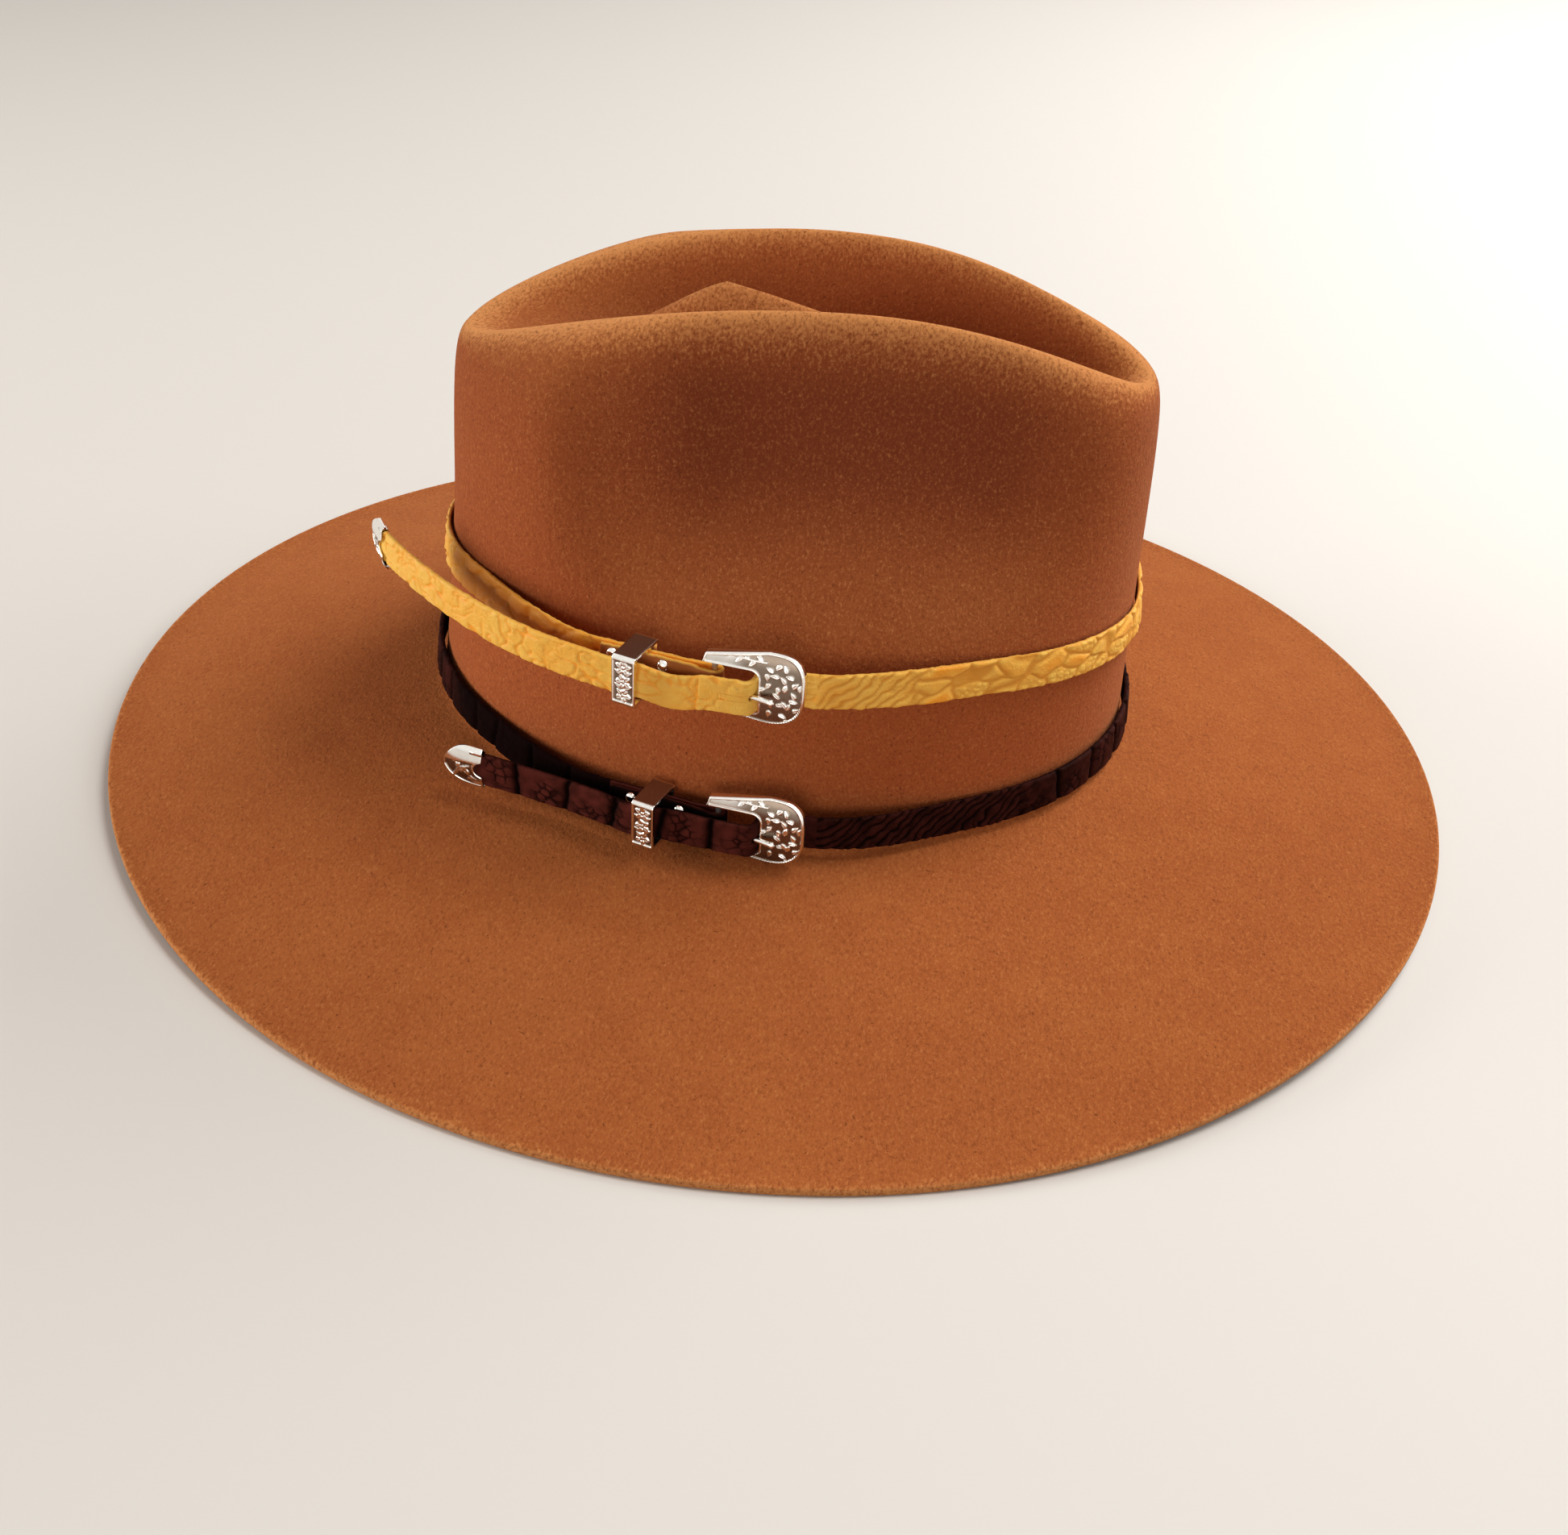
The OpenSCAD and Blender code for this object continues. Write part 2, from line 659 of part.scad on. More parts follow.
module upper_buckle() { color("silver") buckle(upper_bar_x, upper_h); }
module upper_bar() { color("gray") bar(upper_bar_x, upper_h); }
module upper_prong() { color("silver") prong(upper_bar_x, upper_h); }
module upper_keeper() { color("silver") keeper(upper_bar_x, upper_keeper_x, upper_h); }
module upper_tip() { color("silver") tip(upper_tail_end, upper_tail_turn, upper_h); }
module upper_rivets() { color("silver") rivets(upper_bar_x, upper_keeper_x, upper_h); }
module lower_buckle() { color("silver") buckle(lower_bar_x, lower_h); }
module lower_bar() { color("gray") bar(lower_bar_x, lower_h); }
module lower_prong() { color("silver") prong(lower_bar_x, lower_h); }
module lower_keeper() { color("silver") keeper(lower_bar_x, lower_keeper_x, lower_h); }
module lower_tip() { color("silver") tip(lower_tail_end, lower_tail_turn, lower_h); }
module lower_rivets() { color("silver") rivets(lower_bar_x, lower_keeper_x, lower_h); }

felt_body();
sweatband();
sweatband_reed();
sweatband_bow();
upper_strap();
upper_buckle();
upper_bar();
upper_prong();
upper_keeper();
upper_tip();
upper_rivets();
lower_strap();
lower_buckle();
lower_bar();
lower_prong();
lower_keeper();
lower_tip();
lower_rivets();
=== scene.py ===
"""Looks of a wide-brimmed felt hat: nap, embossed leather bands, engraved silver, floor, light and camera."""

import logging
import math
from collections.abc import Callable
from dataclasses import dataclass, field
from enum import Enum

import bmesh
import bpy
from mathutils import Matrix, Vector, noise


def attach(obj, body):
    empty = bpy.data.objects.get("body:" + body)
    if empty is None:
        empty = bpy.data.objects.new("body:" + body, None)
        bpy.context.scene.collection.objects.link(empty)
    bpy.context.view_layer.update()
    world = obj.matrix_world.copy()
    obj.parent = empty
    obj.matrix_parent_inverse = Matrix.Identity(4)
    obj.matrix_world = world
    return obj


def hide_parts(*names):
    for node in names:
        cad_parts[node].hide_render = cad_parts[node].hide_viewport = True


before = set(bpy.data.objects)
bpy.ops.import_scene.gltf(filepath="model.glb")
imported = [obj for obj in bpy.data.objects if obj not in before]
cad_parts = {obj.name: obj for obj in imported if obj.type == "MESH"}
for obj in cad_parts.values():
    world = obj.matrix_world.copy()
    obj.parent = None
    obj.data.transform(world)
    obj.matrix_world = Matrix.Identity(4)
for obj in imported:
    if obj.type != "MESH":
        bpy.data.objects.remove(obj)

log = logging.getLogger("hat")

# Sizes are in millimetres unless a name says otherwise.
MM = 0.001
GOLDEN_TURN = 137.5
NOISE_SEED = 5
HAT = "hat"
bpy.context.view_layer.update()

Place = Callable[["Sheet", int, int], Vector]
Color = tuple[float, float, float]
Point = tuple[float, float, float]
Pairs = tuple[tuple[float, float], ...]
Output = tuple[bpy.types.Node, int | str]
Value = Output | float | tuple[float, ...]


def mix(a: float, b: float, k: float) -> float:
    """Returns the value a share k of the way from a to b."""
    return a + (b - a) * k


def ease(k: float) -> float:
    """Returns a smooth step from 0 to 1 as k goes from 0 to 1."""
    c = min(1.0, max(0.0, k))
    return c * c * (3 - 2 * c)


def heading(degrees: float) -> Vector:
    """Returns the direction in plan of an angle in degrees."""
    return Vector((math.cos(math.radians(degrees)), math.sin(math.radians(degrees))))


def bezier(p: Vector, q: Vector, r: Vector, s: Vector, count: int) -> list[Vector]:
    """Returns count + 1 points along a cubic curve.

    Args:
        p: first end.
        q: handle of the first end.
        r: handle of the last end.
        s: last end.
        count: number of steps.

    Returns:
        The points, both ends included.
    """
    points = []
    for i in range(count + 1):
        k = i / count
        j = 1 - k
        points.append(j**3 * p + 3 * j * j * k * q + 3 * j * k * k * r + k**3 * s)
    return points


def smooth_line(points: list[Vector], spacing: float) -> list[Vector]:
    """Runs an even, rounded line through points.

    Args:
        points: corners of the line.
        spacing: distance between the points of the result.

    Returns:
        Points along the line, about spacing apart.
    """
    dense = []
    last = len(points) - 1
    for i in range(last):
        before = points[max(0, i - 1)]
        after = points[min(last, i + 2)]
        a, b = points[i], points[i + 1]
        span = (b - a).length
        lead = (b - before).normalized() * span / 3
        trail = (after - a).normalized() * span / 3
        steps = max(2, math.ceil(2 * span / spacing))
        dense += bezier(a, a + lead, b - trail, b, steps)[:-1]
    dense.append(points[last])
    even = [dense[0]]
    left = spacing
    for a, b in zip(dense, dense[1:]):
        span = (b - a).length
        run = left
        while run <= span:
            even.append(a.lerp(b, run / span))
            run += spacing
        left = run - span
    even.append(dense[-1])
    return even


class Sheet:
    """A grid of quads whose corners are put in place by a function, with marks kept on its corners."""

    def __init__(self, columns: int, rows: int, place: Place, marks: tuple[str, ...] = ()) -> None:
        """Makes the grid.

        Args:
            columns: number of faces across.
            rows: number of faces along.
            place: gives the place of a corner from its column and row, and may fill self.mark.
            marks: names of the values kept on each corner for the materials.
        """
        self.mesh = bmesh.new()
        self.mark: dict[str, float] = {}
        bmesh.ops.create_grid(self.mesh, x_segments=columns, y_segments=rows, size=0.5)
        layers = {name: self.mesh.verts.layers.float.new(name) for name in marks}
        for corner in self.mesh.verts:
            column = round((corner.co.x + 0.5) * columns)
            row = round((corner.co.y + 0.5) * rows)
            self.mark.clear()
            corner.co = place(self, column, row) * MM
            for name, layer in layers.items():
                corner[layer] = self.mark.get(name, 0.0)

    def weld(self, reach: float = 0.004) -> "Sheet":
        """Merges corners that lie on each other, so that a seam or a pole is closed."""
        bmesh.ops.remove_doubles(self.mesh, verts=self.mesh.verts, dist=reach * MM)
        return self

    def cap(self) -> "Sheet":
        """Fills the open ends."""
        rims = [edge for edge in self.mesh.edges if edge.is_boundary]
        bmesh.ops.holes_fill(self.mesh, edges=rims, sides=0)
        return self

    def outward(self) -> "Sheet":
        """Turns the faces of a closed shape outwards."""
        bmesh.ops.recalc_face_normals(self.mesh, faces=self.mesh.faces)
        return self


def finished(
    mesh: bmesh.types.BMesh, name: str, finish: bpy.types.Material, body: str = HAT
) -> bpy.types.Object:
    """Makes an object from a mesh and lets it ride on a body.

    Args:
        mesh: the shape, in place.
        name: name of the piece.
        finish: its material.
        body: the body that it rides on.

    Returns:
        The new object.
    """
    data = bpy.data.meshes.new(name)
    mesh.to_mesh(data)
    mesh.free()
    data.shade_smooth()
    data.materials.append(finish)
    piece = bpy.data.objects.new(name, data)
    bpy.context.scene.collection.objects.link(piece)
    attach(piece, body)
    log.info("%s: %d faces", name, len(data.polygons))
    return piece


def make_piece(sheet: Sheet, name: str, finish: bpy.types.Material, body: str = HAT) -> bpy.types.Object:
    """Makes an object from a sheet and lets it ride on a body."""
    return finished(sheet.mesh, name, finish, body)


class Tree:
    """Adds nodes to a shader tree and links them by the names of their sockets."""

    def __init__(self, tree: bpy.types.NodeTree) -> None:
        """Keeps the tree."""
        self.tree = tree

    def add(self, kind: str, inputs: dict | None = None, **settings) -> bpy.types.Node:
        """Adds one node.

        Args:
            kind: the node's type without its ShaderNode prefix.
            inputs: what fill() puts into its inputs.
            settings: properties of the node.

        Returns:
            The new node.
        """
        node = self.tree.nodes.new(kind if kind.startswith("Node") else "ShaderNode" + kind)
        for name, value in settings.items():
            setattr(node, name, value)
        self.fill(node, inputs or {})
        return node

    def fill(self, node: bpy.types.Node, inputs: dict) -> None:
        """Sets a node's inputs, by name or number, to a value or to a link from (node, socket)."""
        for name, value in inputs.items():
            if isinstance(value, tuple) and isinstance(value[0], bpy.types.Node):
                self.tree.links.new(value[0].outputs[value[1]], node.inputs[name])
            else:
                node.inputs[name].default_value = value

    def mark(self, name: str) -> Output:
        """Adds a reader of a value kept on the mesh and returns its output."""
        return self.add("Attribute", attribute_name=name), "Fac"

    def seen(self) -> Output:
        """Adds a mask of the rays that show a surface, rather than its light on others."""
        rays = self.add("LightPath")
        shown = self.math("MAXIMUM", (rays, "Is Camera Ray"), (rays, "Is Glossy Ray"))
        return self.math("MAXIMUM", shown, (rays, "Is Transmission Ray"))

    def math(self, operation: str, *values: Value) -> Output:
        """Adds a Math node and returns its output."""
        return self.add("Math", dict(enumerate(values)), operation=operation), 0

    def blend(self, share: Value, a: Value, b: Value) -> Output:
        """Adds a colour mix of a and b by a share and returns its output."""
        return self.add("Mix", {0: share, 6: a, 7: b}, data_type="RGBA"), 2

    def ramp(self, value: Value, low: float, high: float) -> Output:
        """Adds a smooth step of a value between two limits and returns its output."""
        inputs = {"Value": value, "From Min": low, "From Max": high}
        return self.add("MapRange", inputs, interpolation_type="SMOOTHSTEP"), 0

    def noise(self, vector: Output, scale: float, detail: float = 3, roughness: float = 0.55) -> Output:
        """Adds a noise of a scale, in cycles per metre, and returns its value."""
        inputs = {"Vector": vector, "Scale": scale, "Detail": detail, "Roughness": roughness}
        return self.add("TexNoise", inputs), 0


def rgb(color: Color) -> tuple[float, float, float, float]:
    """Returns a colour with full alpha."""
    return (*color, 1.0)


def new_group(name: str, inputs: dict[str, str], outputs: dict[str, str]) -> tuple[Tree, dict]:
    """Starts a shader node group.

    Args:
        name: name of the group.
        inputs: socket type of each input.
        outputs: socket type of each output.

    Returns:
        The tree, and its ends: the group's input and output nodes.
    """
    group = bpy.data.node_groups.new(name, "ShaderNodeTree")
    for side, sockets in (("INPUT", inputs), ("OUTPUT", outputs)):
        for socket, kind in sockets.items():
            group.interface.new_socket(socket, in_out=side, socket_type="NodeSocket" + kind)
    tree = Tree(group)
    ends = {"in": tree.add("NodeGroupInput"), "out": tree.add("NodeGroupOutput")}
    return tree, ends


class Effects:
    """Node groups that more than one finish uses, each built once."""

    def __init__(self) -> None:
        """Builds the groups."""
        self.mottle = self.build_mottle()
        self.grain = self.build_grain()

    @staticmethod
    def build_mottle() -> bpy.types.NodeTree:
        """Builds slow, cloudy changes of a colour at two sizes."""
        tree, ends = new_group(
            "mottle",
            {"Color": "Color", "Deep": "Color", "Scale": "Float", "Amount": "Float"},
            {"Color": "Color"},
        )
        source = ends["in"]
        where = tree.add("TexCoord"), "Object"
        wide = tree.add("TexNoise", {"Vector": where, "Scale": (source, "Scale"), "Detail": 2.0}), 0
        close_scale = tree.math("MULTIPLY", (source, "Scale"), 5.3)
        close = tree.add("TexNoise", {"Vector": where, "Scale": close_scale, "Detail": 4.0}), 0
        both = tree.math("ADD", wide, close)
        share = tree.math("MULTIPLY", tree.ramp(both, 0.72, 1.28), (source, "Amount"))
        color = tree.blend(share, (source, "Color"), (source, "Deep"))
        tree.fill(ends["out"], {"Color": color})
        return tree.tree

    @staticmethod
    def build_grain() -> bpy.types.NodeTree:
        """Builds the pores and fine creases of leather as a height."""
        tree, ends = new_group("grain", {"Scale": "Float"}, {"Height": "Float"})
        source = ends["in"]
        where = tree.add("TexCoord"), "Object"
        pores = tree.add("TexVoronoi", {"Vector": where, "Scale": (source, "Scale")}, feature="SMOOTH_F1")
        crease_scale = tree.math("MULTIPLY", (source, "Scale"), 0.31)
        creases = tree.add("TexNoise", {"Vector": where, "Scale": crease_scale, "Detail": 5.0}), 0
        height = tree.math("ADD", (pores, "Distance"), creases)
        tree.fill(ends["out"], {"Height": height})
        return tree.tree

    @staticmethod
    def place(tree: Tree, group: bpy.types.NodeTree, inputs: dict) -> bpy.types.Node:
        """Puts a group into a material's tree and returns its node."""
        return tree.add("Group", inputs, node_tree=group)


def new_material(name: str) -> tuple[bpy.types.Material, Tree, bpy.types.Node]:
    """Starts a material.

    Args:
        name: its name.

    Returns:
        The material, its tree and its Principled shader.
    """
    material = bpy.data.materials.new(name)
    material.use_nodes = True
    return material, Tree(material.node_tree), material.node_tree.nodes["Principled BSDF"]


@dataclass(frozen=True)
class FeltFinish:
    """Short brushed nap with painted shade on steep walls and in hollows, paler where it is rubbed and where
    a highlight is painted; scales in cycles per metre.
    """

    color: Color = (0.44, 0.127, 0.033)
    deep: Color = (0.38, 0.098, 0.025)
    # Painted shade on steep walls.
    steep_shade: Color = (0.42, 0.102, 0.029)
    # Painted shade in the dents and the crease's trough.
    hollow_shade: Color = (0.19, 0.035, 0.013)
    # Rubbed nap with painted highlight.
    rubbed_and_lit: Color = (0.74, 0.31, 0.1)
    speck: Color = (0.12, 0.028, 0.01)
    tip: Color = (0.66, 0.27, 0.09)
    sheen: Color = (1.0, 0.62, 0.33)
    cloud_scale: float = 17.0
    fibre_scale: float = 2300.0
    tuft_scale: float = 1250.0
    speck_scale: float = 900.0
    fluff_scale: float = 700.0
    nap_height_m: float = 0.0008

    def material(self, effects: Effects) -> bpy.types.Material:
        """Returns the felt's material."""
        material, tree, shader = new_material("rust_felt")
        where = tree.add("TexCoord"), "Object"
        cloud = effects.place(tree, effects.mottle, {
            "Color": rgb(self.color), "Deep": rgb(self.deep), "Scale": self.cloud_scale, "Amount": 0.6})
        facing = tree.add("SeparateXYZ", {"Vector": (tree.add("NewGeometry"), "Normal")})
        flat = tree.ramp((facing, "Z"), 0.1, 0.9)
        # Painted shade: steep walls take a darker colour by their facing.
        lying = tree.blend(flat, rgb(self.steep_shade), (cloud, "Color"))
        # Painted shade in the dents and the crease's trough.
        pressed = tree.blend(tree.mark("hollow_shade"), lying, rgb(self.hollow_shade))
        turn = {"Vector": where, "Scale": (1.0, 0.55, 0.8), "Rotation": (0.3, 0.2, 0.7)}
        lay = tree.add("Mapping", turn), 0
        fibre = tree.noise(lay, self.fibre_scale, 4, 0.7)
        tuft = tree.noise(lay, self.tuft_scale, 3, 0.65)
        # Rubbed nap on the crest and the brim's edge, with a painted highlight on the crest and the peak.
        ragged = tree.math("MULTIPLY_ADD", tree.math("SUBTRACT", tuft, 0.5), 1.1, tree.mark("rub_and_highlight"))
        toned = tree.blend(tree.ramp(ragged, 0.15, 0.85), pressed, rgb(self.rubbed_and_lit))
        both = tree.math("MULTIPLY", tree.math("ADD", fibre, tuft), 0.5)
        tips = tree.blend(tree.math("MULTIPLY", tree.ramp(both, 0.5, 0.68), 0.5), toned, rgb(self.tip))
        dark = tree.math("MULTIPLY", tree.ramp(both, 0.5, 0.32), 0.55)
        roots = tree.blend(dark, tips, rgb(self.speck))
        fleck = tree.noise(where, self.speck_scale, 2, 0.6)
        specks = tree.math("MULTIPLY", tree.ramp(fleck, 0.66, 0.74), 0.7)
        nap = tree.math("ADD", both, tree.noise(where, self.fluff_scale, 3, 0.6))
        bump = tree.add("Bump", {"Height": nap, "Strength": 0.55, "Distance": self.nap_height_m})
        tree.fill(shader, {
            "Base Color": tree.blend(specks, roots, rgb(self.speck)),
            "Normal": (bump, 0),
            "Roughness": 0.95,
            "Specular IOR Level": 0.1,
            "Sheen Weight": 0.12,
            "Sheen Roughness": 0.42,
            "Sheen Tint": rgb(self.sheen),
        })
        return material


@dataclass(frozen=True)
class LeatherFinish:
    """Embossed leather: raised scales, darker grooves, browner back, whose colour is also painted as shade
    behind a tail.
    """

    name: str
    scale: Color
    dome: Color
    groove: Color
    back: Color
    roughness: float
    coat: float = 0.0
    specular: float = 0.5
    cloud_scale: float = 60.0
    pore_scale: float = 2100.0
    pore_depth_m: float = 0.0004

    def material(self, effects: Effects) -> bpy.types.Material:
        """Returns the leather's material."""
        material, tree, shader = new_material(self.name)
        cloud = effects.place(tree, effects.mottle, {
            "Color": rgb(self.scale), "Deep": rgb(self.dome), "Scale": self.cloud_scale, "Amount": 0.35})
        groove, back = tree.mark("groove"), tree.mark("back")
        domed = tree.blend(tree.mark("dome"), (cloud, "Color"), rgb(self.dome))
        cut = tree.blend(groove, domed, rgb(self.groove))
        pores = effects.place(tree, effects.grain, {"Scale": self.pore_scale}), "Height"
        bump = tree.add("Bump", {"Height": pores, "Strength": 0.35, "Distance": self.pore_depth_m})
        dull = tree.math("MAXIMUM", groove, back)
        tree.fill(shader, {
            # The back's colour also stands as painted shade on the run behind a tail.
            "Base Color": tree.blend(back, cut, rgb(self.back)),
            "Roughness": tree.math("MULTIPLY_ADD", dull, 0.35, self.roughness),
            "Normal": (bump, 0),
            "Coat Weight": self.coat,
            "Coat Roughness": 0.3,
            "Specular IOR Level": self.specular,
        })
        return material


@dataclass(frozen=True)
class SilverFinish:
    """Polished silver, with painted dark reflection in the ground and cuts of its engraving."""

    name: str
    bright: Color = (0.93, 0.91, 0.87)
    haze: Color = (0.8, 0.77, 0.72)
    # Painted dark reflection of the brim and room, laid where the cut mark lies.
    dark: Color = (0.2, 0.145, 0.105)
    roughness: float = 0.14
    engraved: bool = True

    def material(self, effects: Effects) -> bpy.types.Material:
        """Returns the silver's material."""
        material, tree, shader = new_material(self.name)
        where = tree.add("TexCoord"), "Object"
        color = effects.place(tree, effects.mottle, {
            "Color": rgb(self.bright), "Deep": rgb(self.haze), "Scale": 240.0, "Amount": 0.5}), "Color"
        rough = tree.math("MULTIPLY_ADD", tree.noise(where, 900.0), 0.1, self.roughness - 0.04)
        if self.engraved:
            # The cut mark carries painted dark reflection.
            cut = tree.mark("cut")
            color = tree.blend(cut, color, rgb(self.dark))
            rough = tree.math("MULTIPLY_ADD", cut, 0.12, rough)
        tree.fill(shader, {"Base Color": color, "Roughness": rough, "Metallic": 1.0})
        return material


@dataclass(frozen=True)
class RibbonFinish:
    """Ribbed satin ribbon."""

    color: Color = (0.035, 0.02, 0.016)
    rib: Color = (0.09, 0.055, 0.04)

    def material(self, effects: Effects) -> bpy.types.Material:
        """Returns the ribbon's material."""
        material, tree, shader = new_material("bow_ribbon")
        where = tree.add("TexCoord"), "Object"
        ribs = tree.add("TexWave", {"Vector": where, "Scale": 420.0, "Distortion": 0.4}, bands_direction="Z")
        color = tree.blend((ribs, "Fac"), rgb(self.color), rgb(self.rib))
        bump = tree.add("Bump", {"Height": (ribs, "Fac"), "Strength": 0.4, "Distance": 0.0003})
        tree.fill(shader, {"Base Color": color, "Normal": (bump, 0), "Roughness": 0.45})
        return material


@dataclass(frozen=True)
class HatForm:
    """Sizes of the felt and the rules that shape it."""

    crown_l: float = 207
    crown_w: float = 173
    crown_h: float = 129
    brim_l: float = 404
    brim_w: float = 387
    brim_rise: float = 22.5
    edge_lift: float = 4
    felt_t: float = 2.4
    rim_l: float = 192
    rim_w: float = 67
    drop_back: float = 27.5
    drop_front: float = 19.5
    moat_depth: float = 29
    moat_l: float = 134
    moat_w: float = 34
    peak_h: float = 21
    lean_front: float = 0.035
    lean_back: float = 0.087
    lean_side: float = 0.094
    wall_h: float = 57
    flat_share: float = 0.06
    rest_share: float = 0.15
    rim_round: float = 0.85
    rim_taper: float = 0.27
    rim_mid: float = 0.215
    moat_x: float = 8
    peak_x: float = -22
    dent_mid: float = 0.22
    dent_core: float = 0.36
    dent_reach: float = 0.82

    def wall(self, angle: float, height: float, out: float = 0) -> Vector:
        """Returns a point of the crown wall in plan, moved outwards by an offset."""
        lean = self.lean_front if math.cos(angle) > 0 else self.lean_back
        a = self.crown_l / 2 - lean * height + out
        b = self.crown_w / 2 - self.lean_side * height + out
        return Vector((a * math.cos(angle), b * math.sin(angle)))

    def teardrop(self, angle: float, length: float, width: float) -> Vector:
        """Returns a point of a teardrop in plan."""
        side = math.copysign(abs(math.sin(angle)) ** self.rim_round, math.sin(angle))
        taper = 1 - self.rim_taper * math.cos(angle)
        return Vector((length / 2 * math.cos(angle), width / 2 * side * taper))

    def rim_height(self, angle: float) -> float:
        """Returns the height of the crease's rim above the brim."""
        past = math.cos(angle) - self.rim_mid
        drop, reach = (self.drop_back, 1 + self.rim_mid) if past < 0 else (self.drop_front, 1 - self.rim_mid)
        return self.crown_h - drop * (past / reach) ** 2

    def edge_height(self, angle: float) -> float:
        """Returns the lift of the brim's edge above the rest plane."""
        share = (math.cos(angle) ** 2 - self.rest_share) / (1 - self.rest_share)
        return self.edge_lift * max(0.0, share)

    def dent(self, angle: float) -> float:
        """Returns how far the side dent shapes the wall, from 0 to 1."""
        reach = (abs(math.cos(angle) - self.dent_mid) - self.dent_core) / (self.dent_reach - self.dent_core)
        return 1 - ease(reach)

    def raised(self, plan: Vector, height: float) -> Vector:
        """Returns a point of the hat at a height above the brim."""
        return Vector((plan.x, plan.y, self.brim_rise + height))


@dataclass
class FeltBody:
    """The felt: brim, crown wall, creased top; painted shade, and rubbed nap with painted highlight, by rows
    counted from the crest.
    """

    form: HatForm
    columns: int = 96
    edge_shares: tuple[float, ...] = (0, 0.008, 0.06, 0.15, 0.28, 0.42, 0.56, 0.7, 0.84)
    breaks: Pairs = ((5, -1.6), (2.2, -1), (0.6, 0), (0.1, 2.2))
    walls: tuple[float, ...] = (8, 24, 41, 57)
    full: Pairs = ((0.07, 0.36), (0.19, 0.68), (0.37, 0.885), (0.66, 0.978), (1, 1))
    dented: Pairs = ((0.50, 0.20), (0.74, 0.44), (0.86, 0.74), (0.93, 0.945), (1, 1))
    falls: Pairs = ((0.22, 0.07), (0.50, 0.42), (0.78, 0.84), (1, 1))
    ridges: Pairs = ((0.75, 0.20), (0.5, 0.48), (0.22, 0.80), (0, 1))
    # Painted shade: rows below the crest under the dents, and the crease's trough, deeper towards the front.
    shades: dict[int, float] = field(default_factory=lambda: {-1: 0.3, -2: 0.8, -3: 0.8, -4: 0.5, -5: 0.3})
    trough: dict[int, float] = field(default_factory=lambda: {2: 0.15, 3: 0.35, 4: 0.4, 5: 0.2})
    # The peak's rows are paler: a painted highlight.
    peak: dict[int, float] = field(default_factory=lambda: {6: 0.3, 7: 0.5, 8: 0.55})
    front_shade: float = 0.8

    def brim(self, angle: float) -> list[Vector]:
        """Returns the brim's points from its edge to the crown."""
        form = self.form
        edge = Vector((form.brim_l / 2 * math.cos(angle), form.brim_w / 2 * math.sin(angle)))
        foot = form.wall(angle, 0, self.breaks[0][0])
        low = form.felt_t + form.edge_height(angle) - form.brim_rise
        points = []
        for share in self.edge_shares:
            climb = max(0.0, share - form.flat_share) / (1 - form.flat_share)
            points.append(form.raised(edge.lerp(foot, share), mix(low, self.breaks[0][1], climb)))
        return points

    def crown(self, angle: float) -> list[Vector]:
        """Returns the points of the crown wall up to the dents."""
        form = self.form
        turn = [form.raised(form.wall(angle, 0, out), height) for out, height in self.breaks]
        return turn + [form.raised(form.wall(angle, height), height) for height in self.walls]

    def crease(self, angle: float) -> list[Vector]:
        """Returns the points from the wall over the rim and the moat to the peak."""
        form = self.form
        top = form.wall(angle, form.wall_h)
        rim = form.teardrop(angle, form.rim_l, form.rim_w)
        moat = Vector((form.moat_x, 0)) + form.teardrop(angle, form.moat_l, form.moat_w)
        peak = Vector((form.peak_x, 0))
        rim_h = form.rim_height(angle)
        moat_h = form.crown_h - form.moat_depth
        dent = form.dent(angle)
        points = []
        for plain, pressed in zip(self.full, self.dented):
            inward = mix(plain[0], pressed[0], dent)
            climb = mix(plain[1], pressed[1], dent)
            points.append(form.raised(top.lerp(rim, inward), mix(form.wall_h, rim_h, climb)))
        for inward, fall in self.falls:
            points.append(form.raised(rim.lerp(moat, inward), mix(rim_h, moat_h, fall)))
        for share, climb in self.ridges:
            points.append(form.raised(peak.lerp(moat, share), moat_h + form.peak_h * climb))
        return points

    def build(self, finish: bpy.types.Material) -> bpy.types.Object:
        """Makes the felt piece."""
        angles = [2 * math.pi * i / self.columns for i in range(self.columns)]
        lines = [self.brim(angle) + self.crown(angle) + self.crease(angle) for angle in angles]
        crest = len(self.edge_shares) + len(self.breaks) + len(self.walls) + len(self.full) - 1

        def place(sheet: Sheet, column: int, row: int) -> Vector:
            angle = angles[column % self.columns]
            past = row - crest
            # Rubbed nap on the crest and the brim's edge, and a painted highlight on the crest and the peak.
            rub_and_highlight = max(0.8 * (1 - abs(past) / 2), 0.6 * (1 - row / 1.5), self.peak.get(past, 0.0))
            sheet.mark["rub_and_highlight"] = max(0.0, rub_and_highlight)
            # Painted shade under the crest, most where the wall is dented, and in the crease's trough, deeper
            # at the front.
            side = self.shades.get(past, 0.0) * mix(0.3, 1, self.form.dent(angle))
            deeper = 1 + self.front_shade * max(0.0, math.cos(angle))
            sheet.mark["hollow_shade"] = max(side, self.trough.get(past, 0.0) * deeper)
            return lines[column % self.columns][row]

        sheet = Sheet(self.columns, len(lines[0]) - 1, place, ("rub_and_highlight", "hollow_shade")).weld().outward()
        piece = make_piece(sheet, "felt", finish)
        shell = piece.modifiers.new("felt_thickness", "SOLIDIFY")
        shell.thickness = self.form.felt_t * MM
        shell.offset = -1
        shell.use_even_offset = True
        soft = piece.modifiers.new("soft_form", "SUBSURF")
        soft.levels = 2
        soft.render_levels = 2
        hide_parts("felt_body")
        return piece


